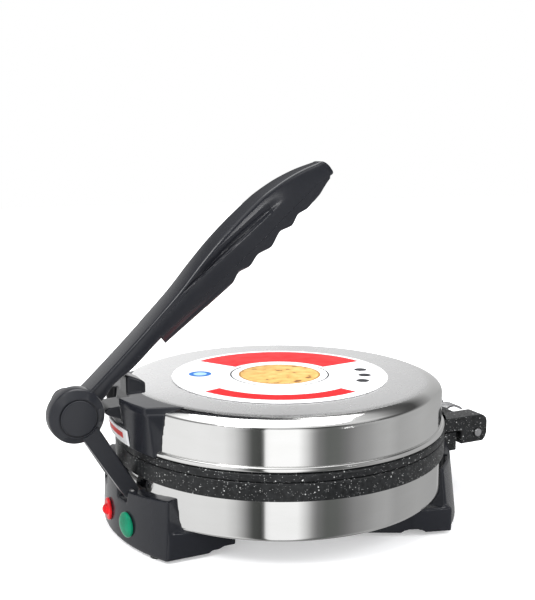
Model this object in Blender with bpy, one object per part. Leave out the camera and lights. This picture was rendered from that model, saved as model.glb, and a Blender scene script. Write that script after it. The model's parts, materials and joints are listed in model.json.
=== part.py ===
"""Electric roti maker: a steel drum with a heated lower plate, a lid with a heated upper plate that
hinges at the back, and a lever handle in front that swings on two short link arms.

Axes: the handle is at -X, the hinge at +X and +Z is up. Lengths are in metres. Places are given from
the axis of the drum at the height of the table, and one empty then shifts the whole object so that
its origin lies at the middle of its outline on the table.
"""

import math

import bmesh
import bpy
from mathutils import Vector

# Fits
SEAT_GAP = 0.0003
LUG_GAP = 0.0005
SKIRT_GAP = 0.001
OVERRUN = 0.006
WELD = 0.000001
END_STEP = 0.0001

# How many flats a round piece has
BODY_STEPS = 64
INNER_STEPS = 32
SMALL_STEPS = 12
TUBE_STEPS = 6

# Base drum, a thin steel cup with an inward flange at its foot
DRUM_LIFT = 0.0199
DRUM_RADIUS = 0.1198
DRUM_SHOWN = 0.0287
DRUM_SHEET = 0.001
DRUM_CORNER = 0.003
DRUM_FLANGE = 0.0168
COVER_SHEET = 0.001
COVER_SEAM = 0.002
VENT_COUNT = 7
VENT_LENGTH = 0.050
VENT_WIDTH = 0.005
VENT_PITCH = 0.012

# Heated plates
PLATE_OVERHANG = 0.0037
PLATE_THICKNESS = 0.005
SKIRT_HEIGHT = 0.0125
BAND_HEIGHT = 0.0054
UPSTAND_WALL = 0.0077
UPSTAND_HEIGHT = 0.0116
BOSS_RADIUS = 0.006
ELEMENT_INSET = 0.0398
ELEMENT_TUBE_RADIUS = 0.0035
ELEMENT_TURN = math.radians(320)
RETAINER_INSET = 0.0248
RETAINER_SHEET = 0.001

# Lid shell, a thin steel cup with a bevelled top and a rolled rim
LID_INSET = 0.0025
LID_SIDE = 0.029
LID_BEVEL_DROP = 0.0045
LID_BEVEL_WIDTH = 0.010
LID_SHEET = 0.001
RIM_BEAD_RADIUS = 0.002
RIM_BEAD_OFFSET = 0.0005
LABEL_MARGIN = 0.030
LABEL_SHEET = 0.0004

# Hinge at the back
HINGE_OFFSET = 0.034
HINGE_DROP = 0.003
HINGE_PIN_RADIUS = 0.0025
HINGE_PIN_HEAD_RADIUS = 0.004
HINGE_PIN_HEAD = 0.0015
LUG_INNER = 0.020
LUG_OUTER = 0.038
LUG_TOP_HEIGHT = 0.014
LUG_END_RADIUS = 0.010
LUG_DROP = 0.008
LUG_HEEL = 0.0155
LUG_NECK = 0.0035
KNUCKLE_RADIUS = 0.008
STUB_INNER = 0.022
STUB_OUTER = 0.036
STUB_LENGTH = 0.0155
STUB_DROP = 0.016
STUB_TOP_DROP = 0.001
GUARD_WIDTH = 0.012
GUARD_SHEET = 0.0015
GUARD_RADIUS = 0.0125
GUARD_START = math.radians(46)
GUARD_END = math.radians(118)

# Front stand
FRONT_THICKNESS = 0.0117
FRONT_DRAFT = 0.0015
FRONT_HEIGHT = 0.0408
FRONT_HALF_WIDTH = 0.0675
FRONT_LEDGE = 0.0545
STAND_LIFT = 0.002
STAND_WALL = 0.0025
STAND_ROOF = 0.003
STAND_POCKET_INSET = 0.0038
STAND_CORE_MARGIN = 0.0033
SLOT_DEPTH = 0.0118
SLOT_SIDE_GAP = 0.0009

# Rear stand
REAR_THICKNESS = 0.0075
REAR_DRAFT = 0.0035
REAR_HEIGHT = 0.052
REAR_HALF_ANGLE = math.radians(52)
REAR_LEDGE = 0.0078
REAR_NOTCH_DEPTH = 0.023
REAR_NOTCH_GAP = 0.0015
REAR_ARM_INSET = 0.0343
REAR_ARM_SIDE_INSET = 0.0138

# Rear stand arm, seen from above, in shares of its reach and its half width
REAR_ARM_SHARES = ((1.0, 0.96), (0.98, 1.0), (0.65, 0.928), (0.152, 0.726), (0.152, 0.56), (1.08, 0.64))

# Rubber feet and the screws of the stands
FOOT_RADIUS = 0.005
FOOT_STUD_RADIUS = 0.002
FOOT_STUD = 0.005
FOOT_MARGIN = 0.0064
FOOT_SIDE_MARGIN = 0.0162
REAR_FOOT_ANGLE = math.radians(44)
SCREW_INSET = 0.0118
FRONT_SCREW_ANGLE = math.radians(20)
REAR_SCREW_ANGLE = math.radians(48)
SCREW_HEAD_RADIUS = 0.0035
SCREW_HEAD = 0.002
SCREW_RADIUS = 0.0015
SCREW_LENGTH = 0.0085
BOLT_RADIUS = 0.002
BOLT_HEAD_RADIUS = 0.0045
BOLT_GRIP = 0.005
NUT_RADIUS = 0.0045
NUT_HEIGHT = 0.003

# Signal lamps in the front stand
LAMP_DROP = 0.0267
GREEN_LAMP_SIDE = -0.029
RED_LAMP_SIDE = 0.004
GREEN_RIM_RADIUS = 0.00875
RED_RIM_RADIUS = 0.008
LAMP_RIM = 0.0018
GREEN_DOME = 0.003
RED_DOME = 0.0048
RED_DOME_RADIUS = 0.0043
LAMP_BARREL_RADIUS = 0.0062
LAMP_BARREL = 0.009
LAMP_WALL = 0.0015
BULB_RADIUS = 0.003

# Parts inside the base, and the bush for the cord
THERMOSTAT_RADIUS = 0.009
THERMOSTAT_HEIGHT = 0.009
SWITCH_INSET = 0.0138
THERMOSTAT_ANGLE = math.radians(120)
FUSE_RADIUS = 0.003
FUSE_LENGTH = 0.016
FUSE_ANGLE = math.radians(150)
BLOCK_LENGTH = 0.032
BLOCK_WIDTH = 0.014
BLOCK_HEIGHT = 0.012
BLOCK_INSET = 0.0578
BLOCK_SIDE = 0.045
GLAND_ANGLE = math.radians(70)
GLAND_LIFT = 0.0141
GLAND_RADIUS = 0.005
GLAND_FLANGE_RADIUS = 0.007
GLAND_FLANGE = 0.003
GLAND_TAIL = 0.002
GLAND_BORE_RADIUS = 0.003

# Lid bracket in front, which the handle presses on
BRACKET_OVERLAP = 0.0095
BRACKET_DEPTH = 0.0095
BRACKET_FOOT_DEPTH = 0.005
BRACKET_TOP_STEP = 0.001
BRACKET_FLANGE = 0.007
BRACKET_HALF_WIDTH = 0.057
BRACKET_BODY_HALF_WIDTH = 0.053
BRACKET_SPAN = math.radians(34)
BRACKET_SCREW_ANGLE = math.radians(16)
BRACKET_SCREW_LENGTH = 0.005
NOTCH_HALF_WIDTH = 0.016
NOTCH_WALL = 0.0005
NOTCH_DRAFT = 0.0018
NOTCH_DEPTH = 0.014
NOTCH_LIP_DROP = 0.008
NOTCH_LIP_REACH = 0.0077
HUMP_HALF_WIDTH = 0.009
HUMP_LENGTH = 0.0115
HUMP_HEIGHT = 0.0125
PANEL_HALF_ANGLE = math.radians(10.6)
PANEL_TOP_DROP = 0.0215
PANEL_HEIGHT = 0.011
PANEL_SHEET = 0.0006

# Hump, seen from the side, in shares of its length and rise above the bracket
HUMP_SHARES = ((0.0, 0.0), (0.0, 0.8), (0.09, 1.0), (0.22, 1.0), (0.83, 0.68), (1.0, 0.56), (1.0, 0.0))

# Link arms
LINK_FOOT_INSET = 0.0063
LINK_FOOT_DROP = 0.0042
HANDLE_AXIS_OFFSET = 0.029
HANDLE_AXIS_DROP = 0.006
LINK_INNER = 0.0144
LINK_OUTER = 0.027
LINK_FOOT_RADIUS = 0.0056
LINK_HEAD_RADIUS = 0.0065
LINK_PIN_RADIUS = 0.00175
LINK_PIN_HALF = 0.0297
KNOB_RADIUS = 0.019
KNOB_SHOULDER = 0.0066
KNOB_DEPTH = 0.0136
KNOB_FACE_RADIUS = 0.013
CAP_RADIUS = 0.0122
CAP_HEIGHT = 0.0014
HANDLE_PIN_RADIUS = 0.003
HANDLE_PIN_HEAD_RADIUS = 0.005
HANDLE_PIN_HEAD = 0.0015

# Handle
HANDLE_REACH = 0.205
HANDLE_HEIGHT = 0.165
HANDLE_HALF_WIDTH = 0.013
HANDLE_CORNER = 0.0022
BARREL_RADIUS = 0.010
STRIP_START = 0.075
STRIP_END = 0.197
STRIP_START_DEPTH = 0.0028
STRIP_END_DEPTH = 0.009
GRIP_END_MARGIN = 0.0135
CHANNEL_DEPTH = 0.006
CHANNEL_HALF_WIDTH = 0.010
HANDLE_SCREW_PLACE = 0.132
HANDLE_SCREW_PITCH = 0.082
HANDLE_SCREW_LENGTH = 0.008
HANDLE_SCREW_SINK = 0.0024
STEM_SCREW_PLACE = 0.040
STEM_SCREW_LENGTH = 0.0022
STEM_SCREW_RADIUS = 0.0018

# Side outlines of the handle from its axis, in shares of its reach and its rise
TOP_SHARES = (
    (0.0, 0.003), (0.149, 0.176), (0.354, 0.43), (0.456, 0.576), (0.529, 0.673), (0.602, 0.758),
    (0.676, 0.836), (0.749, 0.897), (0.822, 0.945), (0.9, 0.982), (0.961, 1.0), (0.988, 0.982),
    (1.0, 0.955),
)
STEM_UNDER_SHARES = (
    (0.03, -0.05), (0.085, 0.012), (0.105, 0.033), (0.144, 0.091), (0.198, 0.139), (0.305, 0.261),
    (0.568, 0.539), (0.698, 0.673), (0.785, 0.77), (0.893, 0.88), (0.993, 0.942),
)
GRIP_UNDER_SHARES = (
    (0.324, 0.236), (0.573, 0.473), (0.598, 0.521), (0.641, 0.545), (0.671, 0.594), (0.724, 0.624),
    (0.759, 0.691), (0.807, 0.715), (0.832, 0.764), (0.871, 0.788), (0.924, 0.848), (0.966, 0.921),
)
# Line that the roof of the channel runs under, from the barrel to its end inside the grip
CHANNEL_SHARES = (
    (0.09, 0.018), (0.112, 0.044), (0.144, 0.091), (0.198, 0.139), (0.324, 0.261), (0.476, 0.38),
)
# Half width along the handle, as shares of its length and of the half width
WIDTH_SHARES = (
    (0.0, 0.98), (0.1, 1.0), (0.3, 1.0), (0.5, 1.06), (0.8, 1.0), (0.92, 0.86), (0.98, 0.62), (1.0, 0.4),
)

# Heights from the table and other places that follow from the sizes above
PLATE_RADIUS = DRUM_RADIUS + PLATE_OVERHANG
LID_RADIUS = PLATE_RADIUS - LID_INSET
LID_TOP_RADIUS = LID_RADIUS - LID_BEVEL_WIDTH
LABEL_RADIUS = LID_TOP_RADIUS - LABEL_MARGIN
ELEMENT_RADIUS = DRUM_RADIUS - ELEMENT_INSET
RETAINER_RADIUS = DRUM_RADIUS - RETAINER_INSET
SWITCH_CIRCLE = DRUM_RADIUS - SWITCH_INSET
BLOCK_PLACE = DRUM_RADIUS - BLOCK_INSET
SCREW_CIRCLE = DRUM_RADIUS - SCREW_INSET
FOOT_CIRCLE = DRUM_RADIUS + FOOT_MARGIN
FRONT_FOOT_ANGLE = math.asin((FRONT_HALF_WIDTH - FOOT_SIDE_MARGIN) / FOOT_CIRCLE)
HINGE_REACH = PLATE_RADIUS + HINGE_OFFSET
STUB_REACH = PLATE_RADIUS + STUB_LENGTH
FRONT_TOP_RADIUS = DRUM_RADIUS + FRONT_THICKNESS
FRONT_FOOT_RADIUS = FRONT_TOP_RADIUS + FRONT_DRAFT
FRONT_INNER_EDGE = DRUM_RADIUS - FRONT_LEDGE
STAND_POCKET_RADIUS = DRUM_RADIUS - STAND_POCKET_INSET
STAND_CORE_RADIUS = FRONT_INNER_EDGE - STAND_CORE_MARGIN
REAR_TOP_RADIUS = PLATE_RADIUS + REAR_THICKNESS
REAR_FOOT_RADIUS = REAR_TOP_RADIUS + REAR_DRAFT
REAR_LEDGE_RADIUS = DRUM_RADIUS - REAR_LEDGE
REAR_ARM_REACH = DRUM_RADIUS - REAR_ARM_INSET
REAR_ARM_WIDTH = DRUM_RADIUS - REAR_ARM_SIDE_INSET
BRACKET_INNER = LID_RADIUS - BRACKET_OVERLAP
BRACKET_TOP_RADIUS = LID_RADIUS + BRACKET_DEPTH
BRACKET_FOOT_RADIUS = LID_RADIUS + BRACKET_FOOT_DEPTH
NOTCH_FRONT = LID_RADIUS + NOTCH_WALL
LINK_FOOT_REACH = FRONT_TOP_RADIUS - LINK_FOOT_INSET
HANDLE_AXIS_REACH = BRACKET_TOP_RADIUS + HANDLE_AXIS_OFFSET
FRONT_TOP = STAND_LIFT + FRONT_HEIGHT
REAR_TOP = STAND_LIFT + REAR_HEIGHT
SLOT_FLOOR = FRONT_TOP - SLOT_DEPTH
REAR_NOTCH_FLOOR = REAR_TOP - REAR_NOTCH_DEPTH
LAMP_HEIGHT = FRONT_TOP - LAMP_DROP
LINK_FOOT_HEIGHT = FRONT_TOP - LINK_FOOT_DROP
GLAND_HEIGHT = DRUM_LIFT + GLAND_LIFT
SKIRT_FOOT = DRUM_LIFT + DRUM_SHOWN
HINGE_HEIGHT = SKIRT_FOOT - HINGE_DROP
PLATE_FACE = SKIRT_FOOT + SKIRT_HEIGHT
PLATE_UNDERSIDE = PLATE_FACE - PLATE_THICKNESS
DRUM_TOP = PLATE_UNDERSIDE - SEAT_GAP
DRUM_BORE = DRUM_RADIUS - DRUM_SHEET
SKIRT_BORE = DRUM_RADIUS + SEAT_GAP
COVER_UNDERSIDE = DRUM_LIFT + DRUM_SHEET + SEAT_GAP
COVER_TOP = COVER_UNDERSIDE + COVER_SHEET
UPPER_FACE = PLATE_FACE + SEAT_GAP
UPPER_FLOOR = UPPER_FACE + PLATE_THICKNESS
BAND_TOP = UPPER_FACE + BAND_HEIGHT
UPSTAND_TOP = UPPER_FLOOR + UPSTAND_HEIGHT
LID_RIM = BAND_TOP + SEAT_GAP
LID_SHOULDER = LID_RIM + LID_SIDE
LID_TOP = LID_SHOULDER + LID_BEVEL_DROP
LID_BORE = LID_RADIUS - LID_SHEET
BEAD_CENTRE_RADIUS = LID_RADIUS + RIM_BEAD_OFFSET
BEAD_TOP = LID_RIM + 2 * RIM_BEAD_RADIUS
RETAINER_DEPTH = 2 * ELEMENT_TUBE_RADIUS + 2 * SEAT_GAP
STAND_SEAT = DRUM_LIFT - SEAT_GAP
STAND_POCKET_TOP = STAND_SEAT - STAND_ROOF
BRACKET_TOP = LID_TOP + BRACKET_TOP_STEP
HANDLE_AXIS_HEIGHT = BRACKET_TOP - HANDLE_AXIS_DROP
BRACKET_RADIUS_AT_LID = LID_RADIUS + SEAT_GAP
HANDLE_LINE = Vector((HANDLE_REACH, 0, HANDLE_HEIGHT))
HANDLE_LEAN = HANDLE_LINE.angle(Vector((1, 0, 0)))
HANDLE_AXIS = Vector((-HANDLE_AXIS_REACH, 0, HANDLE_AXIS_HEIGHT))
LINK_AXIS = Vector((-LINK_FOOT_REACH, 0, LINK_FOOT_HEIGHT))
HINGE_AXIS = Vector((HINGE_REACH, 0, HINGE_HEIGHT))
LEFT_END = -(HANDLE_AXIS_REACH + KNOB_RADIUS)
RIGHT_END = HINGE_REACH + LUG_END_RADIUS
MIDDLE = (LEFT_END + RIGHT_END) / 2

# Colour, roughness and metallic value of each finish
FINISHES = {
    "steel": ((0.62, 0.62, 0.60), 0.28, 1.0),
    "granite": ((0.03, 0.03, 0.03), 0.55, 0.0),
    "plastic": ((0.025, 0.027, 0.03), 0.32, 0.0),
    "rubber": ((0.02, 0.02, 0.02), 0.85, 0.0),
    "red_lens": ((0.75, 0.03, 0.02), 0.15, 0.0),
    "green_lens": ((0.0, 0.42, 0.2), 0.15, 0.0),
    "white": ((0.85, 0.85, 0.84), 0.4, 0.0),
    "zinc": ((0.55, 0.55, 0.56), 0.35, 1.0),
    "element": ((0.12, 0.11, 0.10), 0.5, 0.6),
    "ceramic": ((0.75, 0.72, 0.66), 0.6, 0.0),
}


def clear_scene():
    for obj in list(bpy.data.objects):
        bpy.data.objects.remove(obj)


def finish_of(name, look):
    colour, roughness, metallic = FINISHES[look]
    material = bpy.data.materials.new(name)
    material.use_nodes = True
    shader = material.node_tree.nodes["Principled BSDF"]
    shader.inputs["Base Color"].default_value = (*colour, 1)
    shader.inputs["Roughness"].default_value = roughness
    shader.inputs["Metallic"].default_value = metallic
    return material


def axis_empty(name, place, parent=None):
    """An empty on a joint's axis, or at the drum's axis, that carries the pieces which move with it."""
    empty = bpy.data.objects.new(name, None)
    bpy.context.scene.collection.objects.link(empty)
    empty.parent = parent
    empty.location = place
    return empty


def world_place(empty):
    place = empty.location.copy()
    while empty.parent:
        empty = empty.parent
        place += empty.location
    return place


def to_object(name, bm, carrier, place, turn):
    """The mesh as an object. Its place is given from the drum's axis at the table."""
    bmesh.ops.recalc_face_normals(bm, faces=bm.faces)
    mesh = bpy.data.meshes.new(name)
    bm.to_mesh(mesh)
    bm.free()
    mesh.shade_smooth()
    mesh.set_sharp_from_angle(angle=math.radians(35))
    obj = bpy.data.objects.new(name, mesh)
    bpy.context.scene.collection.objects.link(obj)
    obj.parent = carrier
    drum_axis = Vector((-MIDDLE, 0, 0))
    obj.location = drum_axis + Vector(place) - world_place(carrier)
    obj.rotation_euler = turn
    return obj


def piece(name, bm, look, carrier, place=(0, 0, 0), turn=(0, 0, 0)):
    obj = to_object(name, bm, carrier, place, turn)
    obj.data.materials.append(finish_of(name, look))
    return obj


def shape(target, bm, operation, place=(0, 0, 0), turn=(0, 0, 0)):
    """Cuts the mesh from the target, joins it on, or keeps what both share."""
    tool = to_object(f"{target.name}_tool", bm, target.parent, place, turn)
    tool.hide_render = True
    tool.display_type = "WIRE"
    modifier = target.modifiers.new(operation.lower(), "BOOLEAN")
    modifier.operation = operation
    modifier.object = tool
    modifier.solver = "EXACT"


def cut(target, bm, place=(0, 0, 0), turn=(0, 0, 0)):
    shape(target, bm, "DIFFERENCE", place, turn)


def join(target, bm, place=(0, 0, 0), turn=(0, 0, 0)):
    shape(target, bm, "UNION", place, turn)


def keep(target, bm, place=(0, 0, 0), turn=(0, 0, 0)):
    shape(target, bm, "INTERSECT", place, turn)


def turned(rings, steps):
    """A closed outline of (radius, height) spun round Z. An outline on the axis closes there."""
    bm = bmesh.new()
    verts = [bm.verts.new((radius, 0, height)) for radius, height in rings]
    pairs = list(zip(verts, verts[1:]))
    if rings[0][0] > 0 or rings[-1][0] > 0:
        pairs.append((verts[-1], verts[0]))
    edges = [bm.edges.new(pair) for pair in pairs]
    bmesh.ops.spin(
        bm, geom=verts + edges, cent=(0, 0, 0), axis=(0, 0, 1), angle=math.tau, steps=steps,
        use_merge=True,
    )
    bmesh.ops.remove_doubles(bm, verts=bm.verts, dist=WELD)
    return bm


def lofted(sections):
    """A solid through closed sections of equal count, capped at both ends."""
    bm = bmesh.new()
    loops = [[bm.verts.new(point) for point in section] for section in sections]
    count = len(loops[0])
    for near, far in zip(loops, loops[1:]):
        for i in range(count):
            j = (i + 1) % count
            bm.faces.new((near[i], near[j], far[j], far[i]))
    bm.faces.new(loops[0])
    bm.faces.new(loops[-1][::-1])
    return bm


def swept(profile, start, end, steps):
    """A closed outline of (radius, height) turned about Z from one angle to another."""
    sections = []
    for i in range(steps + 1):
        angle = start + (end - start) * i / steps
        direction = Vector((math.cos(angle), math.sin(angle), 0))
        sections.append([direction * radius + Vector((0, 0, height)) for radius, height in profile])
    return lofted(sections)


def upright_prism(outline, low, high):
    """An outline in plan, drawn from one height to another."""
    return lofted([[(x, y, z) for x, y in outline] for z in (low, high)])


def side_prism(outline, near, far):
    """An outline seen from the side, as (x, z), drawn across from one side to the other."""
    return lofted([[(x, y, z) for x, z in outline] for y in (near, far)])


def box(x0, x1, y0, y1, z0, z1):
    return upright_prism(((x0, y0), (x1, y0), (x1, y1), (x0, y1)), z0, z1)


def rod(radius, low, high, steps=SMALL_STEPS):
    """A cylinder on Z."""
    return turned(((0, high), (radius, high), (radius, low), (0, low)), steps)


def cross_rod(radius, near, far, steps=SMALL_STEPS):
    """A cylinder along Y."""
    outline = arc((0, 0), radius, 0, math.tau * (steps - 1) / steps, steps)
    return side_prism(outline, near, far)


def arc(centre, radius, start, end, count):
    points = []
    for i in range(count):
        angle = start + (end - start) * i / (count - 1)
        points.append((centre[0] + radius * math.cos(angle), centre[1] + radius * math.sin(angle)))
    return points


def pan_screw(head_radius, head, radius, length, steps=SMALL_STEPS):
    """A screw on Z with the underside of its head at height 0 and its shank above."""
    edge = head / 3
    return turned(
        ((0, length), (radius, length), (radius, 0), (head_radius, 0), (head_radius, -head + edge),
         (head_radius - edge, -head), (0, -head)),
        steps,
    )


def radial(radius, angle, height):
    return (radius * math.cos(angle), radius * math.sin(angle), height)


def outward(angle):
    """The turn that lays a piece's Z along the radius at an angle."""
    return (0, math.pi / 2, angle)


def inset(outline, distance):
    """A convex outline, counter-clockwise, with each side moved in by a distance."""
    points = [Vector(point) for point in outline]
    moved = []
    for i, corner in enumerate(points):
        before = (corner - points[i - 1]).normalized()
        after = (points[(i + 1) % len(points)] - corner).normalized()
        inward = (Vector((-before.y, before.x)) + Vector((-after.y, after.x))) / 2
        moved.append(corner + inward * distance / inward.length_squared)
    return [(point.x, point.y) for point in moved]


def build_drum(base):
    inner_corner = DRUM_CORNER - DRUM_SHEET
    bend = (DRUM_RADIUS - DRUM_CORNER, DRUM_LIFT + DRUM_CORNER)
    outer = arc(bend, DRUM_CORNER, 0, -math.pi / 2, 4)
    inner = arc(bend, inner_corner, -math.pi / 2, 0, 4)
    lip = DRUM_RADIUS - DRUM_CORNER - DRUM_FLANGE
    rings = [(DRUM_RADIUS, DRUM_TOP), *outer, (lip, DRUM_LIFT), (lip, DRUM_LIFT + DRUM_SHEET), *inner,
             (DRUM_BORE, DRUM_TOP)]
    drum = piece("base_drum", turned(rings, BODY_STEPS), "steel", base)
    for place in stand_screw_places():
        cut(drum, rod(SCREW_RADIUS + SEAT_GAP, -OVERRUN, OVERRUN), (*place, DRUM_LIFT))
    hole = rod(GLAND_RADIUS + SEAT_GAP, -OVERRUN, OVERRUN)
    cut(drum, hole, radial(DRUM_RADIUS, GLAND_ANGLE, GLAND_HEIGHT), outward(GLAND_ANGLE))

    radius = DRUM_RADIUS - DRUM_CORNER - COVER_SEAM
    cover = piece("bottom_cover", rod(radius, COVER_UNDERSIDE, COVER_TOP, INNER_STEPS), "zinc", base)
    for i in range(VENT_COUNT):
        side = (i - (VENT_COUNT - 1) / 2) * VENT_PITCH
        for end in (-1, 1):
            middle = end * (VENT_LENGTH / 2 + VENT_PITCH)
            slot = box(-VENT_LENGTH / 2, VENT_LENGTH / 2, -VENT_WIDTH / 2, VENT_WIDTH / 2, -OVERRUN, OVERRUN)
            cut(cover, slot, (middle, side, COVER_TOP))
    for place in stand_screw_places():
        cut(cover, rod(SCREW_RADIUS + SEAT_GAP, -OVERRUN, OVERRUN), (*place, COVER_TOP))
    cut(cover, rod(BOLT_RADIUS + SEAT_GAP, -OVERRUN, OVERRUN), (0, 0, COVER_TOP))


def stand_screw_places():
    angles = [math.pi + side * FRONT_SCREW_ANGLE for side in (-1, 1)]
    angles += [side * REAR_SCREW_ANGLE for side in (-1, 1)]
    return [(SCREW_CIRCLE * math.cos(angle), SCREW_CIRCLE * math.sin(angle)) for angle in angles]


def hinge_outline(radius, neck):
    """Side outline of an ear that holds the hinge pin: a neck at the plate, then a round end."""
    end = arc((HINGE_REACH, HINGE_HEIGHT), radius, math.pi / 2, -math.pi / 2, 7)
    return [*neck, *end]


def build_lower_plate(base):
    rings = ((0, PLATE_FACE), (PLATE_RADIUS, PLATE_FACE), (PLATE_RADIUS, SKIRT_FOOT), (0, SKIRT_FOOT))
    plate = piece("lower_plate", turned(rings, BODY_STEPS), "granite", base)
    inside = DRUM_RADIUS - OVERRUN
    neck = [(inside, SKIRT_FOOT), (inside, PLATE_FACE - STUB_TOP_DROP),
            (PLATE_RADIUS, PLATE_FACE - STUB_TOP_DROP), (STUB_REACH, HINGE_HEIGHT + KNUCKLE_RADIUS)]
    tail = [(STUB_REACH, HINGE_HEIGHT - KNUCKLE_RADIUS), (PLATE_RADIUS, SKIRT_FOOT)]
    half = LUG_INNER - LUG_GAP
    knuckle = [*neck, *arc((HINGE_REACH, HINGE_HEIGHT), KNUCKLE_RADIUS, math.pi / 2, -math.pi / 2, 7), *tail]
    join(plate, side_prism(knuckle, -half, half))
    top = SKIRT_FOOT - STUB_TOP_DROP
    stub = [(inside, top + SKIRT_HEIGHT / 4), (PLATE_RADIUS - STUB_TOP_DROP, top + SKIRT_HEIGHT / 4),
            (PLATE_RADIUS + STUB_TOP_DROP, top), (STUB_REACH, top), (STUB_REACH, SKIRT_FOOT - STUB_DROP),
            (PLATE_RADIUS, SKIRT_FOOT - STUB_DROP), (inside, top - SKIRT_HEIGHT / 4)]
    for side in (-1, 1):
        join(plate, side_prism(stub, side * STUB_INNER, side * STUB_OUTER))
    cut(plate, rod(SKIRT_BORE, -OVERRUN, PLATE_UNDERSIDE, BODY_STEPS))
    cut(plate, cross_rod(HINGE_PIN_RADIUS + SEAT_GAP, -LUG_OUTER, LUG_OUTER), HINGE_AXIS)
    boss_foot = PLATE_UNDERSIDE - RETAINER_DEPTH + SEAT_GAP
    join(plate, rod(BOSS_RADIUS, boss_foot, PLATE_UNDERSIDE + SEAT_GAP))
    cut(plate, rod(BOLT_RADIUS + SEAT_GAP, boss_foot - OVERRUN, boss_foot + BOLT_GRIP + SEAT_GAP))


def element(face, side):
    """A tube bent round under or over a plate, with its two ends apart at the back."""
    height = face + side * (ELEMENT_TUBE_RADIUS + SEAT_GAP)
    turn = math.tau * (TUBE_STEPS - 1) / TUBE_STEPS
    outline = arc((ELEMENT_RADIUS, height), ELEMENT_TUBE_RADIUS, math.pi / 6, math.pi / 6 + turn, TUBE_STEPS)
    gap = (math.tau - ELEMENT_TURN) / 2
    return swept(outline, gap, math.tau - gap, INNER_STEPS)


def retainer(face, side):
    """A shallow pressed dish that holds the element to the plate."""
    rim = face + side * SEAT_GAP
    inner = face + side * RETAINER_DEPTH
    outer = inner + side * RETAINER_SHEET
    hole = BOLT_RADIUS + SEAT_GAP
    bore = RETAINER_RADIUS - RETAINER_SHEET
    rings = ((hole, inner), (bore, inner), (bore, rim), (RETAINER_RADIUS, rim), (RETAINER_RADIUS, outer),
             (hole, outer))
    return turned(rings, INNER_STEPS)


def build_base_inside(base):
    piece("lower_element", element(PLATE_UNDERSIDE, -1), "element", base)
    piece("lower_retainer", retainer(PLATE_UNDERSIDE, -1), "zinc", base)
    boss_foot = PLATE_UNDERSIDE - RETAINER_DEPTH + SEAT_GAP
    head_seat = COVER_UNDERSIDE - SEAT_GAP
    bolt = pan_screw(BOLT_HEAD_RADIUS, SCREW_HEAD, BOLT_RADIUS, boss_foot + BOLT_GRIP - head_seat)
    piece("base_bolt", bolt, "zinc", base, (0, 0, head_seat))
    nut_top = PLATE_UNDERSIDE - RETAINER_DEPTH - RETAINER_SHEET - SEAT_GAP
    hole = BOLT_RADIUS + SEAT_GAP
    nut_foot = nut_top - NUT_HEIGHT
    rings = ((NUT_RADIUS, nut_top), (NUT_RADIUS, nut_foot), (hole, nut_foot), (hole, nut_top))
    piece("retainer_nut", turned(rings, TUBE_STEPS), "zinc", base)
    top = PLATE_UNDERSIDE - SEAT_GAP
    body = rod(THERMOSTAT_RADIUS, top - THERMOSTAT_HEIGHT, top)
    piece("thermostat", body, "ceramic", base, radial(SWITCH_CIRCLE, THERMOSTAT_ANGLE, 0))
    place = radial(SWITCH_CIRCLE, FUSE_ANGLE, top - FUSE_RADIUS)
    fuse = cross_rod(FUSE_RADIUS, -FUSE_LENGTH / 2, FUSE_LENGTH / 2)
    piece("thermal_fuse", fuse, "ceramic", base, place, (0, 0, FUSE_ANGLE))
    block = box(-BLOCK_LENGTH / 2, BLOCK_LENGTH / 2, -BLOCK_WIDTH / 2, BLOCK_WIDTH / 2, 0, BLOCK_HEIGHT)
    piece("terminal_block", block, "white", base, (BLOCK_PLACE, BLOCK_SIDE, COVER_TOP + SEAT_GAP))
    inner = -DRUM_SHEET - 2 * SEAT_GAP
    rings = ((GLAND_FLANGE_RADIUS, SEAT_GAP + GLAND_FLANGE), (GLAND_FLANGE_RADIUS, SEAT_GAP),
             (GLAND_RADIUS, SEAT_GAP), (GLAND_RADIUS, inner), (GLAND_FLANGE_RADIUS, inner),
             (GLAND_FLANGE_RADIUS, inner - GLAND_TAIL), (GLAND_BORE_RADIUS, inner - GLAND_TAIL),
             (GLAND_BORE_RADIUS, SEAT_GAP + GLAND_FLANGE))
    gland_place = radial(DRUM_RADIUS, GLAND_ANGLE, GLAND_HEIGHT)
    piece("cord_gland", turned(rings, SMALL_STEPS), "rubber", base, gland_place, outward(GLAND_ANGLE))


def drum_seat(ledge_radius, wall_top):
    """Inner side of a stand, from under the drum, round its corner and up its wall."""
    bend = (DRUM_RADIUS - DRUM_CORNER, DRUM_LIFT + DRUM_CORNER)
    corner = arc(bend, DRUM_CORNER + SEAT_GAP, -math.pi / 2, 0, 4)
    return [(ledge_radius, STAND_LIFT), (ledge_radius, STAND_SEAT), *corner, (SKIRT_BORE, wall_top)]


def foot_hole():
    return rod(FOOT_STUD_RADIUS + SEAT_GAP, -OVERRUN, FOOT_STUD + SEAT_GAP, TUBE_STEPS)


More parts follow.
